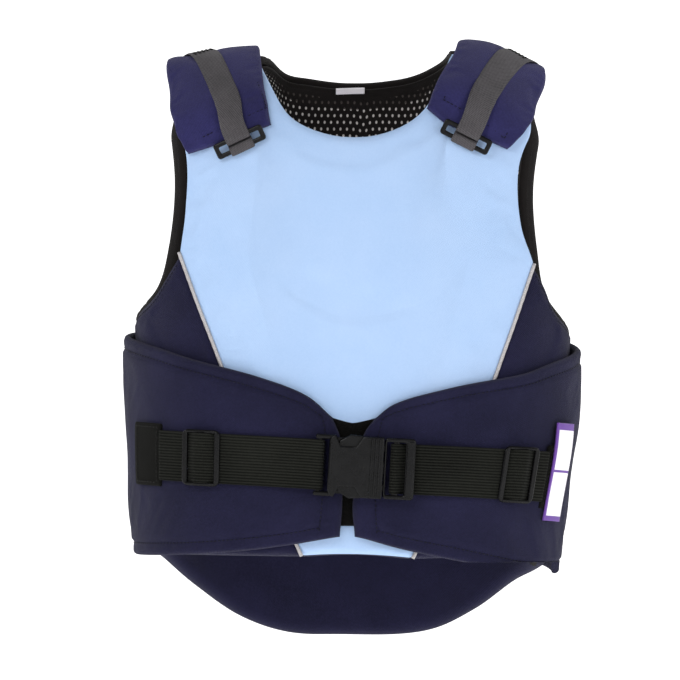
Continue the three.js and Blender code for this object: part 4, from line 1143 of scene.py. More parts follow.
class Tree:
    """A material's nodes, with the arithmetic that weaves need."""

    def __init__(self, name: str) -> None:
        """Starts an empty material.

        Args:
            name: its name.
        """
        self.material = bpy.data.materials.new(name)
        self.material.use_nodes = True
        self.tree = self.material.node_tree
        self.tree.nodes.clear()
        self.output = self.add("ShaderNodeOutputMaterial")

    def add(self, kind: str, inputs: dict | None = None, **settings: object) -> bpy.types.Node:
        """Adds a node to this material."""
        return add_node(self.tree, kind, inputs, **settings)

    def sum_of(self, operation: str, *values: object) -> Socket:
        """The result of one Math operation."""
        return self.add("ShaderNodeMath", dict(enumerate(values)), operation=operation).outputs[0]

    def cloth(self) -> tuple[Socket, Socket]:
        """The two flat coordinates of the cloth, in metres.

        Returns:
            Sockets for along and across.
        """
        flat = self.add("ShaderNodeUVMap", uv_map="Cloth")
        split = self.add("ShaderNodeSeparateXYZ", {0: flat.outputs[0]})
        return split.outputs[0], split.outputs[1]

    def wave(self, value: object, pitch: float) -> Socket:
        """A sine wave with a pitch in mm along a coordinate in metres."""
        return self.sum_of("SINE", self.sum_of("MULTIPLY", value, 2 * math.pi / (pitch * MM)))

    def cloud(self, size: float, detail: float = 3.0, seed: float = 0.0) -> Socket:
        """Soft noise over the object, with spots of about size mm, from 0 to 1.

        Args:
            size: size of its spots in mm.
            detail: how many finer layers it has.
            seed: moves it, for another pattern.

        Returns:
            A socket.
        """
        where = self.add("ShaderNodeTexCoord")
        shift = self.add("ShaderNodeVectorMath", {0: where.outputs["Object"], 1: (seed, seed, seed)})
        inputs = {"Vector": shift.outputs[0], "Scale": 1 / (size * MM), "Detail": detail}
        return self.add("ShaderNodeTexNoise", inputs).outputs[0]

    def tint(self, share: Socket, low: str, high: str, start: float, end: float) -> Socket:
        """A colour between two hex colours, by a share between start and end.

        Args:
            share: what chooses the colour.
            low: hex colour at start.
            high: hex colour at end.
            start: share where it starts to change.
            end: share where it stops.

        Returns:
            A colour socket.
        """
        ramp = self.add("ShaderNodeValToRGB", {0: share})
        first, second = ramp.color_ramp.elements
        first.position, second.position = start, end
        first.color, second.color = linear(low), linear(high)
        return ramp.outputs[0]

    def bump(self, height: Socket, depth: float, strength: float, normal: object = None) -> object:
        """Bump of a depth in mm, on top of another normal where one is given.

        Args:
            height: what gives the height, from 0 to 1.
            depth: its depth in mm.
            strength: how much of it shows.
            normal: the normal it lies on, or None.

        Returns:
            A normal socket.
        """
        inputs = {"Height": height, "Distance": depth * MM, "Strength": strength}
        if normal is not None:
            inputs["Normal"] = normal
        return self.add("ShaderNodeBump", inputs).outputs[0]

    def surface(self, colour: object, roughness: object, normal: object, **constants: object) -> Material:
        """Ends the material in one shader.

        Args:
            colour: its colour, or a hex value.
            roughness: its roughness.
            normal: its normal, or None.
            constants: other sockets by their name with _ for spaces.

        Returns:
            The material.
        """
        inputs = {"Base Color": linear(colour) if isinstance(colour, str) else colour, "Roughness": roughness}
        if normal is not None:
            inputs["Normal"] = normal
        inputs.update({name.replace("_", " "): value for name, value in constants.items()})
        shader = self.add("ShaderNodeBsdfPrincipled", inputs)
        self.tree.links.new(shader.outputs[0], self.output.inputs[0])
        return self.material


@dataclass(frozen=True)
class Cloth:
    """A woven cloth.

    Attributes:
        name: the material's name.
        light: colour of the threads on top.
        dark: colour between them.
        weave: how the threads lie.
        pitch: distance between threads in mm.
        depth: height of the weave in mm.
        sheen: how much the fibres catch light at a glancing angle.
        mottle: how unevenly it is dyed or worn, from 0 to 1.
        roughness: how matt it is.
        shine: how much its threads mirror.
    """

    name: str
    light: str
    dark: str
    weave: Weave
    pitch: float
    depth: float = 0.25
    sheen: float = 0.25
    mottle: float = 0.5
    roughness: float = 0.85
    shine: float = 0.1

    def material(self) -> Material:
        """Builds the cloth's nodes.

        Returns:
            The material.
        """
        tree = Tree(self.name)
        u, v = tree.cloth()
        if self.weave is Weave.TWILL:
            slant = tree.wave(tree.sum_of("ADD", u, v), self.pitch)
            thread = tree.wave(tree.sum_of("SUBTRACT", u, v), 0.55 * self.pitch)
            weave = tree.sum_of("ADD", slant, tree.sum_of("MULTIPLY", thread, 0.4))
        elif self.weave is Weave.RIBBED:
            rib = tree.wave(v, self.pitch)
            cross = tree.wave(u, 0.5 * self.pitch)
            weave = tree.sum_of("ADD", rib, tree.sum_of("MULTIPLY", cross, 0.25))
        elif self.weave is Weave.BASKET:
            weave = tree.sum_of("MULTIPLY", tree.wave(u, 2 * self.pitch), tree.wave(v, 1.4 * self.pitch))
            weave = tree.sum_of("MULTIPLY", weave, 1.6)
        elif self.weave is Weave.PLUSH:
            weave = tree.sum_of("SUBTRACT", tree.sum_of("MULTIPLY", tree.cloud(self.pitch, 2), 4.0), 2.0)
        else:
            weave = tree.sum_of("MULTIPLY", tree.wave(u, self.pitch), tree.wave(v, self.pitch))
        uneven = tree.sum_of("MULTIPLY", tree.sum_of("SUBTRACT", tree.cloud(45, 4), 0.5), self.mottle)
        fuzz = tree.sum_of("SUBTRACT", tree.cloud(1.6, 2, 3.0), 0.5)
        fuzz = tree.sum_of("MULTIPLY", fuzz, 0.7 * self.mottle)
        share = tree.sum_of("MULTIPLY_ADD", weave, 0.2, tree.sum_of("ADD", uneven, fuzz))
        colour = tree.tint(tree.sum_of("ADD", share, 0.5), self.dark, self.light, 0.2, 0.8)
        creases = tree.bump(tree.cloud(14, 3, 7.0), 0.5, 0.35)
        normal = tree.bump(weave, self.depth, 0.6, creases)
        fibres = {"Sheen_Weight": self.sheen, "Sheen_Roughness": 0.5, "Specular_IOR_Level": self.shine}
        return tree.surface(colour, self.roughness, normal, **fibres)


@dataclass(frozen=True)
class SpacerMesh:
    """Knitted polyester mesh with rows of oval holes over pale foam.

    Attributes:
        light: colour of the knit.
        dark: colour between its loops.
        foam: colour that shows through the holes: the pale foam, or a dark grey for painted shade.
        pitch: distance between holes in a row in mm.
        row: distance between rows in mm.
        hole: half width and half height of a hole in mm.
    """

    light: str = "1c1716"
    dark: str = "080707"
    foam: str = "c9c4c2"
    pitch: float = 5.2
    row: float = 5.6
    hole: tuple[float, float] = (0.9, 1.35)

    def material(self, pierced: bool = True) -> Material:
        """Builds the mesh's nodes, with holes or as the plain doubled hem.

        Args:
            pierced: whether it has its holes.

        Returns:
            The material.
        """
        tree = Tree("black_spacer_mesh" if pierced else "black_doubled_mesh")
        u, v = tree.cloth()
        rows = tree.sum_of("DIVIDE", v, self.row * MM)
        index = tree.sum_of("FLOOR", rows)
        shift = tree.sum_of("MULTIPLY", tree.sum_of("MODULO", index, 2.0), 0.5)
        places = tree.sum_of("ADD", tree.sum_of("DIVIDE", u, self.pitch * MM), shift)
        x = tree.sum_of("SUBTRACT", tree.sum_of("FRACT", places), 0.5)
        y = tree.sum_of("SUBTRACT", tree.sum_of("FRACT", rows), 0.5)
        x = tree.sum_of("MULTIPLY", x, self.pitch / self.hole[0])
        y = tree.sum_of("MULTIPLY", y, self.row / self.hole[1])
        square = tree.sum_of("ADD", tree.sum_of("POWER", x, 2.0), tree.sum_of("POWER", y, 2.0))
        far = tree.sum_of("SQRT", square)
        knit = tree.sum_of("MULTIPLY", tree.wave(u, 1.3), tree.wave(v, 0.95))
        yarn = tree.tint(tree.sum_of("MULTIPLY_ADD", knit, 0.5, 0.5), self.dark, self.light, 0.1, 0.9)
        if not pierced:
            normal = tree.bump(knit, 0.25, 0.6)
            return tree.surface(yarn, 0.9, normal, Sheen_Weight=0.03, Specular_IOR_Level=0.16)
        soft = {"interpolation_type": "SMOOTHSTEP"}
        solid, wall = (
            tree.add("ShaderNodeMapRange", {0: far, 1: low, 2: high}, **soft).outputs[0]
            for low, high in ((0.75, 1.15), (0.6, 1.6))
        )
        foam = linear(self.foam)
        colour = tree.add("ShaderNodeMix", {0: solid, 6: foam, 7: yarn}, data_type="RGBA").outputs[2]
        normal = tree.bump(wall, 1.2, 0.8, tree.bump(knit, 0.25, 0.6))
        return tree.surface(colour, 0.9, normal, Sheen_Weight=0.03, Specular_IOR_Level=0.16)


@dataclass(frozen=True)
class Acetal:
    """Injection-moulded black acetal: a hard, slightly waxy gloss with a fine moulded grain."""

    colour: str = "09090a"
    worn: str = "111112"

    def material(self) -> Material:
        """Builds the plastic's nodes.

        Returns:
            The material.
        """
        tree = Tree("black_acetal")
        colour = tree.tint(tree.cloud(9, 4), self.colour, self.worn, 0.35, 0.75)
        grain = tree.cloud(0.8, 2, 2.0)
        rough = tree.add("ShaderNodeMapRange", {0: tree.cloud(6, 3, 5.0), 3: 0.15, 4: 0.28}).outputs[0]
        return tree.surface(colour, rough, tree.bump(grain, 0.04, 0.3), Specular_IOR_Level=0.14)


@dataclass(frozen=True)
class Reflective:
    """Reflective piping: grey glass-bead cloth round a cord, with a soft metallic gleam."""

    light: str = "bdb9b8"
    dark: str = "8e8a8c"

    def material(self) -> Material:
        """Builds the piping's nodes.

        Returns:
            The material.
        """
        tree = Tree("grey_reflective_cloth")
        beads = tree.cloud(0.7, 2)
        colour = tree.tint(beads, self.dark, self.light, 0.3, 0.7)
        return tree.surface(colour, 0.42, tree.bump(beads, 0.1, 0.5), Metallic=0.25, Sheen_Weight=0.15)


@dataclass(frozen=True)
class Satin:
    """Woven satin label: smooth white threads with a coloured border, and no print."""

    ground: str = "f3f0f4"
    border: str = "5b2d8e"
    half_width: float = 11.0
    half_height: float = 38.0

    def material(self, bordered: bool) -> Material:
        """Builds the label's nodes, plain or with a border and a band across.

        Args:
            bordered: whether it has the border.

        Returns:
            The material.
        """
        tree = Tree("white_satin_bordered" if bordered else "white_satin")
        u, v = tree.cloth()
        threads = tree.wave(tree.sum_of("ADD", u, v), 0.9)
        ground = tree.tint(tree.sum_of("MULTIPLY_ADD", threads, 0.5, 0.5), "e6e1ea", self.ground, 0.1, 0.9)
        normal = tree.bump(threads, 0.06, 0.5)
        if not bordered:
            return tree.surface(ground, 0.55, normal, Sheen_Weight=0.1)
        side = tree.sum_of("LESS_THAN", u, (-self.half_width + 2.2) * MM)
        high = tree.sum_of("GREATER_THAN", v, (self.half_height - 4.6) * MM)
        low = tree.sum_of("LESS_THAN", v, (-self.half_height + 3.0) * MM)
        from_band = tree.sum_of("ABSOLUTE", tree.sum_of("SUBTRACT", v, 0.6 * MM))
        band = tree.sum_of("LESS_THAN", from_band, 1.0 * MM)
        marked = tree.sum_of("MAXIMUM", tree.sum_of("MAXIMUM", side, high), tree.sum_of("MAXIMUM", low, band))
        colour = tree.add(
            "ShaderNodeMix", {0: marked, 6: ground, 7: linear(self.border)}, data_type="RGBA"
        ).outputs[2]
        return tree.surface(colour, 0.5, normal, Sheen_Weight=0.1)


class Finishes:
    """Every finish of the vest, made once."""

    def __init__(self) -> None:
        """Makes the materials."""
        woven, twill = self._cloth, Weave.TWILL
        # Plain-weave polyester, piece dyed: matt and even, with a fine grain. The threads are 0.6 mm
        # apart and are drawn at 1.1 mm, as fine as the picture can show.
        self.chest = woven("light_blue_polyester", "b1c8e8", "9cb9df", Weave.PLAIN, 1.1, 0.22, 0.05, 0.4)
        # Brushed polyester twill: dark, soft and slightly purple where fibres catch the light. Real
        # twill lines are 0.7 mm apart and are drawn at 1.3 mm.
        self.body = woven("navy_twill", "24233f", "121225", twill, 1.3, 0.24, 0.06, 0.6, shine=0.07)
        # The same twill in a lighter colour, over thin foam.
        self.flap = woven("navy_twill_flap", "343264", "1d1c3e", twill, 1.3, 0.24, 0.08, 0.55, shine=0.07)
        spacer = SpacerMesh()
        self.lining = spacer.material()
        self.hem = spacer.material(pierced=False)
        # Just below the hem, a copy of the mesh whose holes show dark grey instead of pale foam: painted
        # shade.
        self.painted_shade_lining = SpacerMesh(foam="47413f").material()
        # Nylon webbing in a close basket weave: dull, with pale thread tops.
        self.webbing = woven("grey_nylon_webbing", "5e5b5e", "2a282a", Weave.BASKET, 1.0, 0.4, 0.04, 0.5, 0.7)
        # Knitted elastic with 15 ribs along it: dark ribs with a faint olive cast.
        ribs = Weave.RIBBED
        self.elastic = woven("black_ribbed_elastic", "252622", "030303", ribs, 2.3, 0.5, 0.02, 0.3, 0.85, 0.04)
        # Binding tape in a close twill, that wears to a dull sheen.
        self.tape = woven("black_binding_tape", "1a1a18", "080807", twill, 1.2, 0.25, 0.02, 0.4, shine=0.04)
        # Loop tape: a brushed nylon pile that swallows light.
        pile = Weave.PLUSH
        self.loops = woven("black_loop_pile", "11100f", "050505", pile, 1.1, 0.6, 0.05, 0.4, shine=0.03)
        # Twisted polyester thread: its ply is drawn as a fine twill.
        self.thread = woven("navy_thread", "151428", "08080f", twill, 0.9, 0.1, 0.05, 0.3, 0.6)
        self.dark_thread = woven("black_thread", "191817", "0a0a09", twill, 0.9, 0.1, 0.05, 0.3, 0.6)
        self.plastic = Acetal().material()
        self.piping = Reflective().material()
        self.label = Satin().material(bordered=True)
        self.tab = Satin().material(bordered=False)

    @staticmethod
    def _cloth(*values: object, **more: float) -> Material:
        """The material of one cloth."""
        return Cloth(*values, **more).material()


# Sub-assemblies


@dataclass
class Shell:
    """The foam body of the vest: chest, sides, piping, back, lining and fastening patch."""

    finishes: Finishes
    thickness: float = 20.0
    ridge_thickness: float = 10.0
    lining: float = 1.6
    lining_room: float = 1.4
    layer_gap: float = 0.6
    half_seam: float = 0.4
    piping: float = 3.0
    patch_half: float = 42.0
    patch_thickness: float = 1.6
    tail_wave: float = 3.5
    below_ridge: float = 10.0
    over_ridge: float = 8.0
    back_face: float = 14.4
    hem_depth: float = 11.5
    # How far below the top edge the holes show painted shade.
    painted_shade_depth: float = 20.0
    seam_split: float = 0.585
    lining_end: float = 0.83

    seam_left = ((-0.222, 0.865), (-0.4, 0.702), (-0.576, 0.53), (-0.68, 0.421), (-0.764, 0.329))
    seam_right = ((0.258, 0.869), (0.431, 0.727), (0.616, 0.556), (0.711, 0.449), (0.796, 0.349))

    def panel_at(self, station: Points) -> Points:
        """Thickness of the main panels, thinner over the ridge."""
        away = np.abs(station - BODY.ridge)
        return mix(self.ridge_thickness, self.thickness, smoothstep(away, 25, 75))

    @property
    def seam_face(self) -> float:
        """Outer edge of a seam."""
        return self.thickness * SEAM.outer

    @staticmethod
    def _shift(rows: Points, by: float) -> Points:
        """Moves an edge sideways to leave half of a seam's gap."""
        return rows + (by, 0)

    def chest(self) -> Cover:
        """The light blue chest panel, up to just in front of the shoulder ridge.

        Returns:
            The panel, ready to build.
        """
        out, over = self.seam_face, -self.below_ridge
        arm_left = ((-0.74, 0.259), (-0.738, 0.159), (-0.762, 0.054), Spot(-0.772, over=over))
        arm_right = ((0.742, 0.284), (0.734, 0.178), (0.782, 0.07), Spot(0.795, over=over))
        neck = BODY.spots((
            Spot(-0.42, over=over), (-0.4, 0.005), (-0.351, 0.048), (-0.28, 0.092), (-0.18, 0.116),
            (0.007, 0.13), (0.18, 0.117), (0.302, 0.086), (0.391, 0.027), Spot(0.44, over=over),
        ), self.ridge_thickness)
        left = self._shift(BODY.spots(self.seam_left, out), self.half_seam)
        right = self._shift(BODY.spots(self.seam_right, out), -self.half_seam)
        arm_l = np.vstack([left[-1:], BODY.spots(arm_left, out)])
        arm_r = np.vstack([right[-1:], BODY.spots(arm_right, out)])
        hem = np.vstack([left[:1], BODY.spots(((0, 0.862),), out), right[:1]])
        top = Edge(np.vstack([arm_l[-1:], neck[:1]]), neck, np.vstack([neck[-1:], arm_r[-1:]]))
        sides = (Edge(*runs, split=self.seam_split) for runs in ((left, arm_l), (right, arm_r)))
        return Cover(
            name="chest_panel",
            patch=Patch(Edge(hem), top, *sides),
            surface=BODY.point,
            base=even(0.0),
            thickness=lambda turn, station: self.panel_at(station),
            materials=[self.finishes.chest, self.finishes.lining, self.finishes.body],
            rims={Side.LEFT: SEAM, Side.RIGHT: SEAM},
            radius=7,
            relief=self._chest_relief,
            slack=0.01,
            puff=0.8,
            zones=lambda away: np.where(away[0] < 1.6, 2, 0),
        )

    def _chest_relief(self, turn: Points, station: Points) -> Points:
        """The chest foam's soft swell."""
        down = (station - BODY.ridge) / BODY.length
        return 1.6 * np.exp(-(((down - 0.38) / 0.25) ** 2)) * np.cos(turn) ** 2

    def side(self, left: bool) -> Cover:
        """The navy panel from the piping round to the side seam.

        Args:
            left: whether it is the left one.

        Returns:
            The panel, ready to build.
        """
        sign = -1 if left else 1
        out = self.seam_face
        seam = BODY.spots(self.seam_left if left else self.seam_right, out)
        seam = self._shift(seam, sign * self.half_seam)
        tops = {
            True: ((-0.818, 0.365), (-0.88, 0.405), Spot(turn=-90, down=0.447)),
            False: ((0.845, 0.386), (0.89, 0.43), Spot(turn=90, down=0.468)),
        }
        top = np.vstack([seam[-1:], BODY.spots(tops[left], out)])
        rear = BODY.spots((Spot(turn=sign * 90, down=0.859),), out)
        return Cover(
            name=f"side_panel_{word_of(left)}",
            patch=Patch(*map(Edge, (np.vstack([seam[:1], rear]), top, seam, np.vstack([rear, top[-1:]])))),
            surface=BODY.point,
            base=even(0.0),
            thickness=even(self.thickness),
            materials=[self.finishes.body, self.finishes.lining],
            rims={Side.LEFT: SEAM, Side.RIGHT: SEAM},
            radius=7,
            slack=0.016,
            puff=1.8,
            stitches=(Stitch(Side.TOP, 6.0, 0.05, 0.95),),
        )

    def _tail_fold(self, turn: Points, station: Points) -> Points:
        """The soft folds of the tail, as a distance out from the smooth back.

        Args:
            turn: its turn in radians.
            station: its station in mm.

        Returns:
            Distances in mm.
        """
        rows = (
            (-0.8, 0), (-0.58, 1), (-0.36, -0.6), (-0.08, 0.8),
            (0.12, -0.5), (0.3, 1), (0.52, -0.6), (0.8, 0),
        )
        _, z, _, _ = BODY.read(station)
        across = BODY.point(turn, station, np.zeros(np.shape(turn)))[..., 0] / BODY.half_width
        return self.tail_wave * smoothstep(-z / BODY.length, 0.78, 1) * profile(rows)(across)

    def _back_patch(self) -> Patch:
        """The pattern piece that the back panel and its lining share.

        Returns:
            The pattern piece.
        """
        over = -self.over_ridge
        arm_left = (
            Spot(turn=-90, down=0.447), (-0.86, 0.39), (-0.815, 0.32),
            (-0.791, 0.212), (-0.8, 0.098), Spot(-0.815, over=over),
        )
        arm_right = (
            Spot(turn=90, down=0.468), (0.846, 0.4), (0.811, 0.321),
            (0.796, 0.221), (0.818, 0.11), Spot(0.84, over=over),
        )
        neck = BODY.spots((
            Spot(-0.41, over=over), (-0.369, -0.0026), (-0.295, 0.0222), (-0.191, 0.0308),
            (0, 0.0385), (0.16, 0.0345), (0.256, 0.0273), (0.33, 0.0155), (0.4, -0.0026),
            Spot(0.4356, over=over),
        ), self.ridge_thickness / 2, front=False)
        tail = (
            Spot(turn=-90, down=0.859), (-0.85, 0.866), (-0.684, 0.9205), (-0.486, 0.975),
            (-0.28, 0.9995), (0.05, 1.0035), (0.33, 0.9965), (0.55, 0.959), (0.727, 0.908),
            (0.88, 0.868), Spot(turn=90, down=0.859),
        )
        hem, left, right = (
            BODY.spots(rows, self.back_face, front=False) for rows in (tail, arm_left, arm_right)
        )
        hem[[0, -1]] = BODY.spots((tail[0], tail[-1]), self.seam_face, front=False)
        left[0], right[0] = BODY.spots((arm_left[0], arm_right[0]), self.seam_face, front=False)
        left, right = self._shift(left, self.half_seam), self._shift(right, -self.half_seam)
        hem[0, 0] += self.half_seam
        hem[-1, 0] -= self.half_seam
        return Patch(
            Edge(hem),
            Edge(np.vstack([left[-1:], neck[:1]]), neck, np.vstack([neck[-1:], right[-1:]])),
            Edge(np.vstack([hem[:1], left[:1]]), left),
            Edge(np.vstack([hem[-1:], right[:1]]), right),
        )

    def back(self) -> Cover:
        """The navy back panel with its long tail.

        Returns:
            The panel, ready to build.
        """
        start = self.lining + self.lining_room
        return Cover(
            name="back_panel_padded",
            patch=self._back_patch(),
            surface=BODY.point,
            base=lambda turn, station: start + self._tail_fold(turn, station),
            thickness=lambda turn, station: self.panel_at(station) - start,
            materials=[self.finishes.body, self.finishes.body, self.finishes.hem],
            edging=2,
            radius=8,
            cell=3.6,
            slack=0.016,
            puff=2.2,
            stitches=(Stitch(Side.BOTTOM, 12.0, 0.06, 0.94),),
            zones=lambda away: np.where(np.minimum.reduce(away[1:]) < 7.5, 2, 0),
        )

    def mesh_lining(self) -> Thing:
        """The black mesh on the inside of the back, doubled near its hem, with painted shade in its holes just
        below that.

        Returns:
            The piece.
        """
        patch = self._back_patch()
        us, vs = np.linspace(0, 1, 101), np.linspace(0, 1, 121)
        rows = BODY.read(patch.at(np.full(121, 0.5), vs)[1])[1] > -self.lining_end * BODY.length
        vs = vs[rows]
        u, v = np.meshgrid(us, vs)
        turn, station = patch.at(u, v)
        fold = self._tail_fold(turn, station)
        rough = 0.35 * np.sin(station / 23 + 4 * turn) * np.sin(turn * 9)
        faces_in = BODY.point(turn, station, fold + np.clip(rough, -0.2, 0.6))
        faces_out = BODY.point(turn, station, fold + self.lining)
        flat = flat_map(faces_in)
        cells = (len(vs) - 1) * (len(us) - 1)
        zones = np.ones(2 * (cells + len(vs) + len(us) - 2), int)
        depth = (flat[-1:, :, 1] - flat[..., 1])[:-1, :-1].ravel()
        # The doubled hem runs along the top; the band just below it shows painted shade in its holes.
        zones[:cells] = np.where(depth < self.hem_depth, 1, np.where(depth < self.painted_shade_depth, 2, 0))
        finishes = self.finishes
        piece = skin(
            "mesh_lining", faces_in, faces_out, [finishes.lining, finishes.hem, finishes.painted_shade_lining], flat, zones
        )
        return piece

    def piping_cord(self, left: bool) -> Thing:
        """The grey piping in one seam of the chest panel.

        Args:
            left: whether it is the left one.

        Returns:
            The piece.
        """
        seam = Edge(BODY.spots(self.seam_left if left else self.seam_right, self.seam_face))
        share = np.linspace(0.004, 0.996, 150)
        rows = seam.at(share)
        radius = self.piping / 2
        seat = 1.15 * (radius + self.half_seam)
        centre = BODY.point(rows[:, 0] / BODY.half_width, rows[:, 1], self.seam_face + seat)
        tangent = unit(np.gradient(centre, axis=0))
        outward = BODY.point(rows[:, 0] / BODY.half_width, rows[:, 1], self.seam_face + seat + 1) - centre
        beside = unit(np.cross(tangent, outward))
        outward = np.cross(beside, tangent)
        around = np.linspace(0, 2 * math.pi, 13)
        swell = radius * (1 + 0.05 * np.sin(np.arange(150) * 1.3))[:, None, None]
        cosine, sine = np.cos(around)[None, :, None], np.sin(around)[None, :, None]
        ring = cosine * beside[:, None] + sine * outward[:, None]
        grid = centre[:, None] + swell * ring
        corners = grid[:, :-1]
        count = len(around) - 1
        end = (len(share) - 1) * count
        quads = tube_faces(count, len(share))
        quads += [tuple(range(count - 1, -1, -1)), tuple(range(end, end + count))]
        name = f"piping_cord_{word_of(left)}"
        return make_object(name, corners.reshape(-1, 3), quads, [self.finishes.piping])

    def fastening(self) -> Thing:
        """The soft loop patch on the chest between the wings' ends.

        Returns:
            The piece.
        """
        reach = self.patch_half / BODY.half_width
        out = self.thickness + 0.4
        top = BODY.spots((Spot(-reach, 0.6), (0, 0.63), Spot(reach, 0.605)), out)
        hem = BODY.spots((Spot(-reach, 0.81), (0, 0.81), Spot(reach, 0.81)), out)
        sides = (Edge(np.vstack([hem[[k]], top[[k]]])) for k in (0, 2))
        patch = Patch(Edge(hem), Edge(top[:2], top[1:]), *sides)
        u, v = np.meshgrid(np.linspace(0, 1, 41), np.linspace(0, 1, 45))
        turn, station = patch.at(u, v)
        rise = np.minimum(1, 12 * np.minimum(np.minimum(u, 1 - u), np.minimum(v, 1 - v)) + 0.4)
        outer = BODY.point(turn, station, out + 0.4 + self.patch_thickness * rise)
        inner = BODY.point(turn, station, out + self._chest_relief(turn, station))
        flat = flat_map(outer)
        piece = skin("loop_patch", outer, inner, [self.finishes.loops], flat)
        return piece

    def neck_tab(self) -> Thing:
        """The small white tab at the back of the neck, folded double at its lower edge.

        Returns:
            The piece.
        """
        x = -0.012 * BODY.half_width
        station = float(BODY.station_at(x, -0.0385 * BODY.length, 0, 0)) - 0.4
        width, height, layer, off = 23.0, 6.0, 0.42, -1.04
        path = np.array([
            (0, off), (height / 2, off), (height - 0.5, off), (height - 0.1, off - 0.25),
            (height - 0.5, off - 0.5), (height / 2, off - 0.5), (0, off - 0.5),
        ])
        piece = webbing_piece(
            "neck_tab", path, width, layer,
            lambda along, across, out: BODY.face_point(x + across, station - along, out),
            self.finishes.tab, step=0.3, columns=20,
        )
        return piece

    def build(self) -> None:
        """Builds the whole shell in place of its plain solids."""
        fit(self.chest().build(), "front_panel")
        paths = []
        for word in ("left", "right"):
            side = self.side(word == "left")
            fit(side.build(), f"front_side_{word}")
            fit(self.piping_cord(word == "left"), f"piping_{word}")
            paths += [side.stitch_path(stitch) for stitch in side.stitches]
        back = self.back()
        fit(back.build(), "back_panel")
        paths += [back.stitch_path(stitch) for stitch in back.stitches]
        fit(sew("body_stitching", paths, self.finishes.thread))
        fit(self.mesh_lining(), "back_lining")
        fit(self.fastening(), "fastening_patch")
        fit(self.neck_tab(), "neck_label")


def fit(piece: Thing, node: str | None = None) -> None:
    """Puts a finished piece on the vest and writes it to the log.

    Args:
        piece: the piece.
        node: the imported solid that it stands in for.
    """
    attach(piece, "root")
    if node is not None:
        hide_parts(node)
    LOG.info("%s: %d faces", piece.name, len(piece.data.polygons))


def close_frame(fields: Sequence[Points]) -> Points:
    """Makes three axes of length 1, square to each other.

    Args:
        fields: two rough directions, of which the first is kept.

    Returns:
        The axes, one to a row.
    """
    first = unit(fields[0])
    second = unit(fields[1] - first * np.dot(fields[1], first))
    return np.array([first, second, np.cross(first, second)])


def in_frame(origin: Points, axes: Points, *values: Points) -> Points:
    """Points at distances from an origin along three axes."""
    return origin + sum(np.asarray(value, float)[..., None] * axis for value, axis in zip(values, axes))


def raised(place: Place, rows: Points, height: float) -> Pair:
    """Lays a line of stitches over a surface.

    Args:
        place: turns (along, across, out) into points.
        rows: the line, as (along, across) rows.
        height: its distance out.

    Returns:
        Points and normals along it.
    """
    points, lifted = (place(*rows.T, np.full(len(rows), height + more)) for more in (0.0, 1.0))
    return points, lifted - points


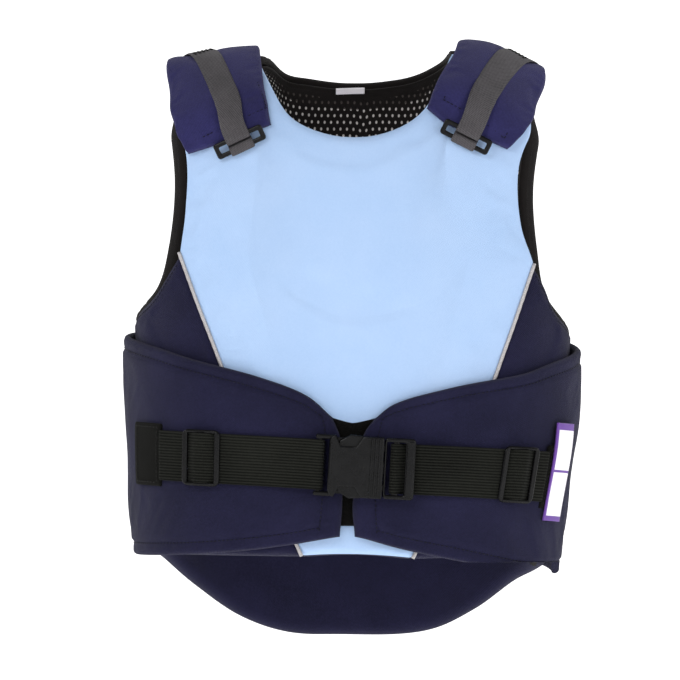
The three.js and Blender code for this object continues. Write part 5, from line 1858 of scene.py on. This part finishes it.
@dataclass
class ShoulderFastening:
    """One shoulder: a padded flap, the strap over it, its ring and the ring's anchor."""

    finishes: Finishes
    shell: Shell
    left: bool
    flap_thickness: float = 8.0
    flap_gap: float = 0.78
    over: float = 60.0
    webbing: float = 20.0
    webbing_thickness: float = 1.5
    gap: float = 0.4
    over_ridge: float = 14.0
    returned: float = 34.0
    ring: tuple[float, float] = (42.0, 13.0)
    ring_bar: float = 3.8
    ring_thickness: float = 3.0
    ring_room: float = 0.6
    ring_lift: float = 1.4
    below_hem: float = 3.6
    ring_turns: tuple[float, float] = (8.0, -5.0)

    def __post_init__(self) -> None:
        """Works out the strap's own frame."""
        spots = {
            True: ((-0.499, 0.138), (-0.656, -0.014)),
            False: ((0.502, 0.129), (0.71, -0.01)),
        }
        out = self.shell.ridge_thickness + self.flap_thickness
        ends = []
        for across, down in spots[self.left]:
            x = across * BODY.half_width
            ends.append(np.array([x, float(BODY.station_at(x, -down * BODY.length, out, BODY.run))]))
        self._middle = ends[0]
        self._direction = unit(ends[1] - ends[0])
        self._sideways = np.array([-self._direction[1], self._direction[0]])
        self._lean_start = self.below_hem + 6.4
        half = self.ring[1] / 2
        low = self._on_face(-half, 0, self.ring_room + self.ring_lift)
        high = self._on_flap(self._lean_start, 0, self.ring_room)
        side = self._on_flap(0, 1, 0) - self._on_flap(0, -1, 0)
        axes = close_frame((high - low, side))
        if np.dot(axes[2], self._on_flap(0, 0, 1) - self._on_flap(0, 0, 0)) < 0:
            axes[2] = -axes[2]
        angle = math.radians(self.ring_turns[0 if self.left else 1])
        for k in (0, 1):
            axes[k] = axes[k] * math.cos(angle) + np.cross(axes[2], axes[k]) * math.sin(angle)
        self._axes = axes
        self._origin = low + axes[0] * half
        self.length = (self._middle[1] - BODY.ridge + self.over_ridge) / -self._direction[1]

    def _on_face(self, along: Points, across: Points, cover: Points) -> Points:
        """Points over the chest panel's face, in the strap's direction.

        Args:
            along: place along it in mm.
            across: place across it in mm.
            cover: distance out from the face.

        Returns:
            Points in mm.
        """
        along, across = np.asarray(along, float)[..., None], np.asarray(across, float)[..., None]
        place = self._middle + along * self._direction + across * self._sideways
        return BODY.face_point(place[..., 0], place[..., 1], self.shell.panel_at(place[..., 1]) + cover)

    def _on_flap(self, along: Points, across: Points, height: Points) -> Points:
        """Points over the flap's outer face."""
        return self._on_face(along, across, self.flap_gap + self.flap_thickness + height)

    def place(self, along: Points, across: Points, height: Points) -> Points:
        """Lays (along, across, height) on the vest: flat round the ring, on the flap above it.

        Args:
            along: place along it in mm.
            across: place across it in mm.
            height: distance out from it in mm.

        Returns:
            Points in mm.
        """
        flat = in_frame(self._origin, self._axes, along, across, height)
        share = smoothstep(along, self._lean_start, self._lean_start + 20)[..., None]
        return mix(flat, self._on_flap(along, across, height), share)

    @property
    def word(self) -> str:
        """The side's name."""
        return "left" if self.left else "right"

    def _rim_spots(self, rows: Sequence[Spot]) -> Points:
        """Spots halfway up the flap's rim, whose distance from the inside is found in steps.

        Args:
            rows: the table of places.

        Returns:
            One row of two numbers for each spot.
        """
        made = []
        for row in rows:
            station = BODY.ridge
            for _ in range(5):
                out = float(self.shell.panel_at(station)) + self.flap_gap + self.flap_thickness / 2
                found = BODY.spots((row,), out)
                station = found[0, 1]
            made.append(found)
        return np.vstack(made)

    def _pillow(self, turn: Points, station: Points) -> Points:
        """How the flap swells beside the strap that is pulled into it.

        Args:
            turn: its turn in radians.
            station: its station in mm.

        Returns:
            Distances out in mm.
        """
        x = BODY.point(turn, station, self.shell.panel_at(station) + self.flap_thickness)[..., 0]
        away = np.stack([x, station], -1) - self._middle
        across = np.abs(away @ self._sideways) - self.webbing / 2
        swell = smoothstep(across, -2.0, 7.0) * (1 - 0.6 * smoothstep(across, 9.0, 26.0))
        return 0.9 * swell * smoothstep(away @ self._direction, 4.0, 20.0) - 0.2

    def flap(self) -> Cover:
        """The padded navy flap over the shoulder joint.

        Returns:
            The flap, ready to build.
        """
        over = self.over
        tables = {
            True: (
                ((-0.729, 0.158), (-0.615, 0.143), (-0.462, 0.121), (-0.364, 0.107)),
                ((-0.785, 0.112), (-0.813, 0.068), (-0.828, 0.015), Spot(-0.8, over=over)),
                ((-0.378, 0.074), (-0.396, 0.036), (-0.408, -0.004), Spot(-0.42, over=over)),
            ),
            False: (
                ((0.684, 0.15), (0.572, 0.13), (0.42, 0.106), (0.327, 0.078)),
                ((0.762, 0.117), (0.81, 0.081), (0.853, 0.034), Spot(0.8, over=over)),
                ((0.351, 0.052), (0.402, 0.011), (0.45, -0.02), Spot(0.47, over=over)),
            ),
        }
        hem, outer, inner = tables[self.left]
        hem_rows = self._rim_spots(hem)
        outer_rows = np.vstack([hem_rows[:1], self._rim_spots(outer)])
        inner_rows = np.vstack([hem_rows[-1:], self._rim_spots(inner)])
        top = Edge(np.vstack([outer_rows[-1:], inner_rows[-1:]]))
        return Cover(
            name=f"padded_flap_{self.word}",
            patch=Patch(Edge(hem_rows), top, Edge(outer_rows), Edge(inner_rows)),
            surface=BODY.point,
            base=lambda turn, station: self.shell.panel_at(station) + self.flap_gap,
            thickness=even(self.flap_thickness),
            materials=[self.finishes.flap, self.finishes.flap],
            radius=3.2,
            cell=2.2,
            relief=self._pillow,
            slack=0.02,
            puff=1.2,
            fill=0.7,
        )

    def strap(self) -> Thing:
        """Grey webbing over the flap, round the ring's upper bar and back under itself.

        Returns:
            The piece.
        """
        low = self.gap + self.webbing_thickness / 2
        high = low + self.webbing_thickness + self.gap
        bar = self.ring[1] / 2 - self.ring_bar / 2
        middle = low + self.webbing_thickness / 2 + self.gap + self.ring_thickness / 2
        turn = round_bar(
            bar, middle, self.ring_bar / 2, self.ring_thickness / 2, self.gap + self.webbing_thickness / 2
        )
        upper = np.linspace(self.length, self.returned + 9, 12)
        doubled = np.linspace(self.returned + 2, bar + 11, 5)
        lower = np.linspace(turn[-1, 0] + 3, self.returned, 7)
        path = np.vstack([
            np.stack([upper, np.full(12, low + 0.2)], -1),
            np.stack([doubled, np.full(5, high)], -1),
            turn,
            np.stack([lower, np.full(7, low)], -1),
        ])
        return webbing_piece(
            f"strap_webbing_{self.word}", path, self.webbing, self.webbing_thickness, self.place,
            self.finishes.webbing, step=1.3, columns=12,
        )

    def ring_piece(self) -> Thing:
        """The black rectangular ring.

        Returns:
            The piece.
        """
        low = 2 * self.gap + self.webbing_thickness
        half = (self.ring[1] / 2, self.ring[0] / 2)
        hole = (half[0] - self.ring_bar, half[1] - self.ring_bar)
        outline = rounded_outline((-half[0], -half[1]), half, 2.5)
        inner = rounded_outline((-hole[0], -hole[1]), hole, 1.0)
        plate = moulded(outline, [inner], low, low + self.ring_thickness, 1.1)
        return moulded_piece(f"plastic_ring_{self.word}", [plate], self.place, self.finishes.plastic)

    def anchor(self) -> Thing:
        """The short webbing that ties the ring's lower bar to the chest.

        Returns:
            The piece.
        """
        bar = self.ring[1] / 2 - self.ring_bar / 2
        low = self.gap + self.webbing_thickness / 2
        ring_low = 2 * self.gap + self.webbing_thickness
        drop = self.flap_thickness + self.flap_gap - self.ring_lift
        lean = math.atan2(drop, self._lean_start + self.ring[1] / 2)
        start = self.below_hem - 3.4

        def lying(along: float, layer: int) -> tuple[float, float]:
            """A point of one layer on the chest."""
            chest = -math.sin(lean) * (along + self.ring[1] / 2) - self.ring_room / 2 - self.ring_lift
            return along, chest + low + layer * (self.webbing_thickness + self.gap)

        turn = round_bar(
            -bar, ring_low + self.ring_thickness / 2, self.ring_bar / 2, self.ring_thickness / 2, low
        )[::-1]
        path = np.array([
            lying(start, 0), lying(start - 2, 0), *turn,
            (-bar + self.ring_bar / 2 + 1, turn[-1][1] - 0.7),
            (-bar + self.ring_bar / 2 + 1.6, ring_low),
            lying(start, 1),
        ])
        return webbing_piece(
            f"anchor_webbing_{self.word}", path, self.webbing, self.webbing_thickness, self.place,
            self.finishes.webbing, step=1.0, columns=12,
        )

    def stitching(self) -> list[Pair]:
        """The stitched box that holds the strap's loop tape to the flap, as paths on the flap.

        Returns:
            Points and normals of each line.
        """
        paths = []
        for near, far in ((-11, -27), (11, 27)):
            corners = ((14, near), (14, far), (38, far), (38, near))
            paths.append(raised(self._on_flap, resample(np.array(corners, float), 1.0), 0.1))
        return paths

    def bar_tacks(self) -> list[Pair]:
        """Dense tacks across the strap near its top end.

        Returns:
            Points and normals of each line.
        """
        thickness = self.gap + self.webbing_thickness + 0.2
        paths = []
        for along in np.linspace(self.length - 26, self.length - 20, 4):
            rows = np.stack([np.full(30, along), np.linspace(-8.5, 8.5, 30)], -1)
            paths.append(raised(self.place, rows, thickness + 0.05))
        return paths

    def build(self) -> None:
        """Builds the shoulder in place of its plain solids."""
        thread, dark = self.finishes.thread, self.finishes.dark_thread
        fit(self.flap().build(), f"shoulder_flap_{self.word}")
        fit(self.strap(), f"shoulder_strap_{self.word}")
        fit(self.ring_piece(), f"shoulder_ring_{self.word}")
        fit(self.anchor(), f"ring_anchor_{self.word}")
        fit(sew(f"flap_stitching_{self.word}", self.stitching(), thread))
        fit(sew(f"strap_stitching_{self.word}", self.bar_tacks(), dark))


@dataclass
class WaistBelt:
    """The wings round the waist, and the elastic, sliders, end patches, label and buckle on them."""

    finishes: Finishes
    shell: Shell
    wing_thickness: float = 6.5
    wing_flare: float = 2.0
    wing_room: float = 0.9
    rear_turn: float = 125.0
    tilt: float = 3.1
    centre: tuple[float, float] = (0.051, 0.706)
    webbing: float = 40.0
    webbing_thickness: float = 1.5
    gap: float = 0.4
    belt_room: float = 1.1
    end_patch: tuple[float, float, float] = (30.0, 50.0, 2.4)
    slider: tuple[float, float, float] = (31.0, 45.0, 2.5)
    slider_bar: float = 4.2
    slider_rail: float = 2.2
    buckle: tuple[float, float, float] = (80.0, 49.0, 12.0)
    horn: float = 11.0
    frame_length: float = 25.0

    def __post_init__(self) -> None:
        """Measures the way round the wings at the belt's height."""
        self.level = -self.centre[1] * BODY.length
        turns = np.radians(np.linspace(-self.rear_turn, self.rear_turn, 241))
        levels = np.full(turns.shape, self.level)
        points = BODY.ring_point(turns, levels, self._wing_top(turns, levels))
        self._turns, self._run = turns, lengths_along(points)
        self._outer = float(self._wing_top(np.zeros(1), levels[:1])[0])
        self._centre_turn = self._turn_of_across(self.centre[0])
        self._zero = float(np.interp(self._centre_turn, turns, self._run))
        along = self._on_wing(1, 0, 0) - self._on_wing(-1, 0, 0)
        up = self._on_wing(0, 1, 0) - self._on_wing(0, -1, 0)
        self._origin = BODY.ring_point(self._centre_turn, self.level, self._outer)
        self._axes = close_frame((along, up))
        low = self.belt_room + self.webbing_thickness / 2
        self.layers = (low, low + self.webbing_thickness + self.gap)
        self.bar_low = self.layers[1] + self.webbing_thickness / 2 + self.gap
        self.buckle_low = self.belt_room - 0.2

    def _turn_of_across(self, across: float) -> float:
        """The turn of a place across the belt, at the wings' outer face."""
        return float(BODY.turn_at(across * BODY.half_width, self.level, self._outer))

    def _wing_base(self, turn: Points, level: Points) -> Points:
        """How far out the wings' inner face lies: on the side panels, and on the patch in front.

        Args:
            turn: its turn in radians.
            level: height in mm.

        Returns:
            Distances from the inside in mm.
        """
        side, front = self.shell.thickness + self.wing_room, self.shell.thickness + 1.6 + 1.2
        across = np.abs(BODY.ring_point(turn, level, np.zeros(np.shape(turn)))[..., 0]) / BODY.inner_half
        across = np.where(np.abs(turn) < math.pi / 2, across, 1)
        return mix(front, side, smoothstep(across, 0.5, 0.95))

    def _wing_top(self, turn: Points, level: Points) -> Points:
        """How far out the wings' outer face lies."""
        return self._wing_base(turn, level) + self.wing_thickness

    def _on_wing(self, along: Points, up: Points, out: Points) -> Points:
        """Points over the wings, by distances round and up from the buckle's middle.

        Args:
            along: place along it in mm.
            up: place up it in mm.
            out: distance out from the wing in mm.

        Returns:
            Points in mm.
        """
        along, up, out = np.broadcast_arrays(*(np.asarray(value, float) for value in (along, up, out)))
        tilt = math.radians(self.tilt)
        turn = np.interp(self._zero + along * math.cos(tilt) + up * math.sin(tilt), self._run, self._turns)
        level = self.level - along * math.sin(tilt) + up * math.cos(tilt)
        return BODY.ring_point(turn, level, self._wing_top(turn, level) + out)

    def place(self, along: Points, up: Points, out: Points) -> Points:
        """Lays (along, up, out) on the belt: flat behind the buckle, on the wings beyond it.

        Args:
            along: place along it in mm.
            up: place up it in mm.
            out: distance out from the wing in mm.

        Returns:
            Points in mm.
        """
        flat = in_frame(self._origin, self._axes, along, up, out)
        start = self.buckle[0] / 2 + 4
        share = smoothstep(np.abs(along), start, start + 36)[..., None]
        return mix(flat, self._on_wing(along, up, out), share)

    def along_of(self, across: float) -> float:
        """Distance round the belt of a place across."""
        return float(np.interp(self._turn_of_across(across), self._turns, self._run)) - self._zero

    def wing(self, left: bool) -> Cover:
        """One padded wing, from the back round to the front.

        Args:
            left: whether it is the left one.

        Returns:
            The wing, ready to build.
        """
        sign = -1 if left else 1
        rear = self.rear_turn
        tables = {
            True: (
                ((-0.093, 0.62), (-0.204, 0.583), (-0.427, 0.549), (-0.773, 0.513),
                 (-0.89, 0.498), Spot(turn=-88, down=0.477), Spot(turn=-rear, down=0.465)),
                ((-0.06, 0.829), (-0.277, 0.843), (-0.502, 0.854), (-0.8, 0.861),
                 Spot(turn=-88, down=0.861), Spot(turn=-rear, down=0.855)),
                ((-0.048, 0.766), (-0.054, 0.66)),
            ),
            False: (
                ((0.098, 0.622), (0.185, 0.597), (0.458, 0.567), (0.79, 0.542),
                 (0.905, 0.525), Spot(turn=88, down=0.502), Spot(turn=rear, down=0.476)),
                ((0.007, 0.829), (0.2, 0.849), (0.493, 0.873), (0.8, 0.898),
                 Spot(turn=88, down=0.896), Spot(turn=rear, down=0.87)),
                ((-0.001, 0.766), (0.048, 0.65)),
            ),
        }
        top, hem, end = tables[left]
        out = self.shell.thickness + 2.8 + self.wing_thickness
        top_rows, hem_rows = BODY.ring_spots(top, out), BODY.ring_spots(hem, out)
        end_rows = np.vstack([hem_rows[:1], BODY.ring_spots(end, out), top_rows[:1]])
        rear_rows = np.vstack([hem_rows[-1:], top_rows[-1:]])

        def base(turn: Points, level: Points) -> Points:
            """The wing's inner face, with its top edge standing off at the side.

            Args:
                turn: its turn in radians.
                level: height in mm.

            Returns:
                Distances from the inside in mm.
            """
            round_by = np.degrees(sign * turn)
            rise = smoothstep(round_by, 55, 88) * (1 - smoothstep(round_by, 88, 115))
            flare = self.wing_flare * rise * smoothstep(level / BODY.length, -0.62, -0.48)
            return self._wing_base(turn, level) + flare

        def folds(turn: Points, level: Points) -> Points:
            """Long soft folds that run along the wing above and below the belt.

            Args:
                turn: its turn in radians.
                level: height in mm.

            Returns:
                Distances out in mm.
            """
            from_belt = (level - self.level) / 40
            along = sign * turn
            fold = 0.9 * np.sin(2.4 * from_belt + 2.2 * along + (0 if left else 1.3))
            pull = -1.1 * np.exp(-(((np.abs(from_belt) - 0.1) / 0.55) ** 2))
            return fold * smoothstep(along, 0.1, 0.6) + pull

        return Cover(
            name=f"padded_wing_{word_of(left)}",
            patch=Patch(*map(Edge, (hem_rows, top_rows, end_rows, rear_rows))),
            surface=BODY.ring_point,
            base=base,
            thickness=even(self.wing_thickness),
            materials=[self.finishes.body, self.finishes.body],
            radius=3.6,
            cell=2.8,
            stitches=(
                Stitch(Side.TOP, 9.5, 0.035, 0.97),
                Stitch(Side.LEFT, 9.5, 0.06, 0.94),
                Stitch(Side.BOTTOM, 9.5, 0.035, 0.97),
            ),
            relief=folds,
            slack=0.016,
            puff=0.9,
            fill=0.6,
        )

    def elastic(self, left: bool) -> Thing:
        """Ribbed elastic from the end patch through the slider and round the buckle's bar.

        Args:
            left: whether it is the left one.

        Returns:
            The piece.
        """
        sign = -1 if left else 1
        slider, start = self.stations(left)
        low, high = self.layers
        bar, half, bottom, top, slot = self.turning_bar(left)
        bend = self.gap + self.webbing_thickness / 2
        turn = round_bar(bar, (bottom + top) / 2, half, (top - bottom) / 2, bend)
        hump = self.bar_low + self.slider[2] + bend
        outer_bar = slider + self.slider[0] / 2 - self.slider_bar
        inner_bar = slider - self.slider[0] / 2 + self.slider_bar
        crown = self.slider_bar / 2 + 0.6
        before = bar + half + slot
        straight = np.linspace(inner_bar - 1, before, 9)[1:]
        back = np.linspace(bar + half + 2, slider - self.slider_bar, 10)
        path = np.vstack([
            [(start - 0.8, high), (outer_bar + 1, high), (outer_bar - 0.6, high + 0.2)],
            [(slider + crown + 0.1, hump - 0.2), (slider + crown - 1, hump)],
            [(slider - crown + 1, hump), (slider - crown - 0.1, hump - 0.2)],
            [(inner_bar + 0.6, high + 0.2), (inner_bar - 1, high)],
            np.stack([straight, np.full(len(straight), high)], -1),
            turn,
            np.stack([back, np.full(len(back), low)], -1),
        ])
        return webbing_piece(
            f"ribbed_elastic_{word_of(left)}", path, self.webbing,
            self.webbing_thickness, lambda a, u, o: self.place(sign * np.asarray(a), u, o),
            self.finishes.elastic, step=1.5, columns=24,
        )

    def stations(self, left: bool) -> tuple[float, float]:
        """Distances from the buckle's middle to one side's slider and end patch."""
        places = (-0.655, -0.85) if left else (0.72, 0.853)
        return abs(self.along_of(places[0])), abs(self.along_of(places[1]))

    def turning_bar(self, left: bool) -> tuple[float, float, float, float, float]:
        """The bar that the elastic turns round: middle, half length, underside, top, slot.

        Args:
            left: whether it is the left one.

        Returns:
            The five sizes in mm.
        """
        if left:
            low = self.layers[0] + self.webbing_thickness / 2 + self.gap
            return self.buckle[0] / 2 - 1.5 - 2, 2.0, low, low + 3, 9.0
        return self.buckle[0] / 2 - 8 - 5 - 2.5, 2.5, self.bar_low, self.bar_low + 3, 4.5

    def slider_piece(self, left: bool) -> Thing:
        """A three-bar slider with rounded rails.

        Args:
            left: whether it is the left one.

        Returns:
            The piece.
        """
        sign = -1 if left else 1
        middle = self.stations(left)[0]
        half = (self.slider[0] / 2, self.slider[1] / 2)
        slot = (self.slider[0] - 3 * self.slider_bar) / 2
        rail = half[1] - self.slider_rail
        holes = []
        for direction in (-1, 1):
            near, far = sorted((direction * self.slider_bar / 2, direction * (self.slider_bar / 2 + slot)))
            holes.append(rounded_outline((near, -rail), (far, rail), 0.8))
        outline = rounded_outline((-half[0], -half[1]), half, 5.0)
        plate = moulded(outline, holes, self.bar_low, self.bar_low + self.slider[2], 0.9)
        ridges = []
        for end in (-1, 1):
            low, high = sorted((end * (half[1] - 0.4), end * (half[1] - 2.6)))
            span = (self.bar_low + 0.4, self.bar_low + self.slider[2] + 0.7)
            ridges.append(block((-half[0] + 3, low), (half[0] - 3, high), 0.9, span, 0.8))
        return moulded_piece(
            f"plastic_slider_{word_of(left)}", [plate, *ridges],
            lambda a, u, o: self.place(sign * middle + np.asarray(a), u, o), self.finishes.plastic,
        )

    def patch_piece(self, left: bool) -> Thing:
        """The folded black tape that holds the end of the elastic.

        Args:
            left: whether it is the left one.

        Returns:
            The piece.
        """
        sign = -1 if left else 1
        start = self.stations(left)[1]
        length, height, thickness = self.end_patch
        low = self.shell.layer_gap
        path = np.stack([np.linspace(start, start + length, 12), np.full(12, low + thickness / 2)], -1)
        return webbing_piece(
            f"end_patch_{word_of(left)}", path, height, thickness,
            lambda a, u, o: self.place(sign * np.asarray(a), u, o), self.finishes.tape, columns=30,
        )

    def side_tab(self) -> Thing:
        """The white tab with a coloured border on the right wing.

        Returns:
            The piece.
        """
        start = self.stations(False)[1] + 4
        width, height, thickness = 22.0, 78.0, 1.0
        low = self.shell.layer_gap + self.end_patch[2] + 2 * self.gap
        across, up = np.meshgrid(*(np.linspace(-s / 2, s / 2, n) for s, n in ((width, 21), (height, 61))))
        rise = 4.4
        wave = 0.45 * np.sin(up / 11) * np.cos(across / 9) + 0.3
        outer = self.place(start + width / 2 + across, up + rise, low + thickness + wave)
        inner = self.place(start + width / 2 + across, up + rise, low + 0 * across)
        piece = skin("side_tab", outer, inner, [self.finishes.label], np.stack([across, up], -1))
        return piece

    def socket(self) -> Thing:
        """The buckle's socket: a rounded body with two side windows, and horns that carry a bar.

        Returns:
            The piece.
        """
        half = self.buckle[1] / 2
        tip = -self.buckle[0] / 2
        start, end = tip + self.horn, self.buckle[0] / 2 - self.frame_length - 0.4
        low, high = self.buckle_low, self.buckle_low + self.buckle[2]
        window = ((-24.0, 0.0), (-20.0, 8.6), (-7.5, 8.6), (-2.2, 0.0))
        upper = [(x, half - depth) for x, depth in window]
        lower = [(x, -y) for x, y in reversed(upper)]
        left_edge = [(start, -half + 5), (start, half - 5), (start + 1.5, half - 1.2), (start + 3.4, half)]
        outline = np.array([
            *left_edge, *upper, (end - 1, half), (end, half - 1), (end, -half + 1), (end - 1, -half), *lower,
            (start + 3.4, -half), (start + 1.5, -half + 1.2),
        ])
        inside = (low + 1, high - 1)
        parts = [
            moulded(outline, [], high - 3.4, high, 0.9),
            moulded(outline, [], low, low + 3.0, 0.9),
            block((start + 1.2, -half + 9.2), (end - 3, half - 9.2), 2, inside, 0.5),
            block((start + 2, -half + 2), (end - 2, half - 2), 2, (low + 0.4, low + 2.4), 0.5),
        ]
        for sign in (-1, 1):
            near, far = sorted((sign * half, sign * (half - 3.4)))
            parts.append(block((tip, near), (start + 5, far), 1.2, (low + 1.4, high - 3.4), 1.1))
            wall = sorted((sign * half, sign * (half - 2.0)))
            parts.append(block((-2.4, wall[0]), (end, wall[1]), 0.7, inside, 0.5))
        bar_low = self.turning_bar(True)[2]
        parts.append(block((tip + 1.5, -half + 2), (tip + 5.5, half - 2), 0.8, (bar_low, bar_low + 3), 0.8))
        for along in (4.0, 7.2, 10.4):
            rib = (high - 1, high + 0.75)
            parts.append(block((along, -half + 1.2), (along + 1.7, half - 1.2), 0.6, rib, 0.6))
        rim = (high - 1, high + 0.5)
        parts.append(block((start + 0.6, -half + 6), (start + 2.4, half - 6), 0.6, rim, 0.5))
        return moulded_piece("buckle_socket_moulded", parts, self.place, self.finishes.plastic)

    def plug(self) -> Thing:
        """The buckle's plug: a webbing frame, and prongs with grips in the socket's windows.

        Returns:
            The piece.
        """
        half = self.buckle[1] / 2
        start, end = self.buckle[0] / 2 - self.frame_length, self.buckle[0] / 2
        low, high = self.bar_low, self.bar_low + 5
        open_half = half - 3.4
        outer_slot, bar = end - 13, end - 18
        outline = rounded_outline((start, -half), (end, half), 3.2)
        holes = [
            rounded_outline((outer_slot, -open_half), (end - 8, open_half), 0.8),
            rounded_outline((bar - 5, -open_half), (bar, open_half), 0.8),
        ]
        opening = rounded_outline((bar - 5, -open_half), (end - 8, open_half), 1)
        parts = [
            moulded(outline, holes, low, low + 3, 0.9),
            moulded(outline, [opening], low + 1.5, high, 1.2),
            block((end - 7, -half + 2), (end - 1, half - 2), 2, (high - 1, high + 0.8), 0.8),
        ]
        hollow = self.buckle_low + 0.51 * self.buckle[2]
        for sign in (-1, 1):
            near, far = sorted((sign * 18.6, sign * 13.0))
            parts.append(block((-7.0, near), (start + 1, far), 0.8, (hollow - 2, hollow + 2), 0.7))
            grip = np.array([
                (-22.6, 17.0), (-20.4, 20.6), (-12.0, half + 0.9), (-2.9, half + 0.5),
                (-1.8, half - 1.4), (-1.8, 13.4), (-21.6, 13.4),
            ]) * (1, sign)
            parts.append(moulded(grip if sign < 0 else grip[::-1], [], hollow - 2.6, hollow + 2.9, 0.9))
        parts.append(block((start - 26, -5), (start + 1, 5), 1, (hollow - 2, hollow + 2), 0.6))
        return moulded_piece("buckle_plug_moulded", parts, self.place, self.finishes.plastic)

    def patch_stitching(self) -> list[Pair]:
        """Lines of stitches down the end patches.

        Returns:
            Points and normals of each line.
        """
        paths = []
        for left in (True, False):
            sign = -1 if left else 1
            start = self.stations(left)[1]
            height = self.shell.layer_gap + self.end_patch[2]
            half = self.end_patch[1] / 2 - 3
            near, far = start + 3, start + 27
            corners = ((near, -half), (near, half), (far, half), (far, -half), (near, -half))
            line = resample(np.array(corners, float), 1.0) * (sign, 1)
            paths.append(raised(self.place, line, height + 0.05))
        return paths

    def build(self) -> None:
        """Builds the waist in place of its plain solids."""
        paths = []
        for word in ("left", "right"):
            left = word == "left"
            wing = self.wing(left)
            fit(wing.build(), f"waist_wing_{word}")
            paths += [wing.stitch_path(stitch) for stitch in wing.stitches]
            fit(self.elastic(left), f"waist_strap_{word}")
            fit(self.patch_piece(left), f"strap_patch_{word}")
            fit(self.slider_piece(left), f"slider_{word}")
        fit(sew("wing_stitching", paths, self.finishes.thread))
        fit(sew("patch_stitching", self.patch_stitching(), self.finishes.dark_thread))
        fit(self.side_tab(), "side_label")
        fit(self.socket(), "buckle_socket")
        fit(self.plug(), "buckle_plug")


@dataclass
class Studio:
    """A white floor and wall, soft light from large panels, and the camera straight in front."""

    centre: tuple[float, float] = (-10.4, -220.4)
    frame_width: float = 544.0
    distance: float = 24000.0
    floor: float = -600.0

    def _paper(self, name: str, corners: Sequence[tuple[float, float, float]], glow: float) -> None:
        """One plain white surface of the studio, lit a little from within.

        Args:
            name: its name.
            corners: its corners in mm.
            glow: how strongly it glows.
        """
        tree = Tree(name)
        grain = tree.bump(tree.cloud(300, 2), 1, 0.02)
        material = tree.surface("fbfbfb", 0.9, grain, Emission_Color=(1, 1, 1, 1), Emission_Strength=glow)
        make_object(name, np.array(corners), np.array([(0, 1, 2, 3)]), [material])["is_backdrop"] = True

    def _panel(self, name: str, place: tuple[float, float, float], size: float, power: float) -> None:
        """One large soft light aimed at the vest.

        Args:
            name: its name.
            place: where it hangs, in metres.
            size: its width in metres.
            power: its power in watts.
        """
        light = bpy.data.lights.new(name, "AREA")
        light.shape = "DISK"
        light.size = size
        light.energy = power
        lamp = bpy.data.objects.new(name, light)
        lamp.location = place
        aim = Vector((0, 0, self.centre[1] * MM)) - lamp.location
        lamp.rotation_euler = aim.to_track_quat("-Z", "Y").to_euler()
        bpy.context.scene.collection.objects.link(lamp)

    def _camera(self) -> None:
        """A long lens at the photograph's height, square to the front of the vest."""
        data = bpy.data.cameras.new("camera")
        data.sensor_width = 36
        data.lens = 36 * self.distance / self.frame_width
        data.clip_end = 100
        camera = bpy.data.objects.new("camera", data)
        camera.location = (self.centre[0] * MM, -self.distance * MM, self.centre[1] * MM)
        camera.rotation_euler = (math.pi / 2, 0, 0)
        bpy.context.scene.collection.objects.link(camera)
        bpy.context.scene.camera = camera

    def build(self) -> None:
        """Builds the studio."""
        low, near, far, wide = self.floor, 5000.0, 40000.0, 80000.0
        corners = ((-1, -1), (1, -1), (1, 1), (-1, 1))
        self._paper("white_floor", [(x * near, y * near, low) for x, y in corners], 0.72)
        self._paper("white_wall", [(x * wide, far, z * wide) for x, z in corners], 1.0)
        self._panel("key", (-1.1, -2.0, 1.0), 1.3, 24)
        self._panel("fill", (1.7, -1.8, 0.2), 1.5, 15)
        self._panel("rim_left", (-1.8, 0.9, 0.7), 1.0, 7)
        self._panel("rim_right", (1.8, 0.9, 0.7), 1.0, 7)
        world = bpy.data.worlds.new("studio")
        world.use_nodes = True
        background = world.node_tree.nodes["Background"]
        background.inputs[0].default_value = (1, 1, 1, 1)
        background.inputs[1].default_value = 0.42
        bpy.context.scene.world = world
        bpy.context.scene.view_settings.view_transform = "Standard"
        self._camera()


def main() -> None:
    """Builds the vest on its frame."""
    logging.basicConfig(level=logging.INFO, format="%(message)s")
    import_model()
    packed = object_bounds()
    finishes = Finishes()
    shell = Shell(finishes)
    shell.build()
    for left in (True, False):
        ShoulderFastening(finishes, shell, left).build()
    WaistBelt(finishes, shell).build()
    Studio().build()
    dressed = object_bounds()
    for axis, packed_size, size in zip("xyz", packed[1] - packed[0], dressed[1] - dressed[0]):
        LOG.info("%s: %.1f mm packed, %.1f mm dressed", axis, packed_size / MM, size / MM)


if __name__ == "__main__":
    main()
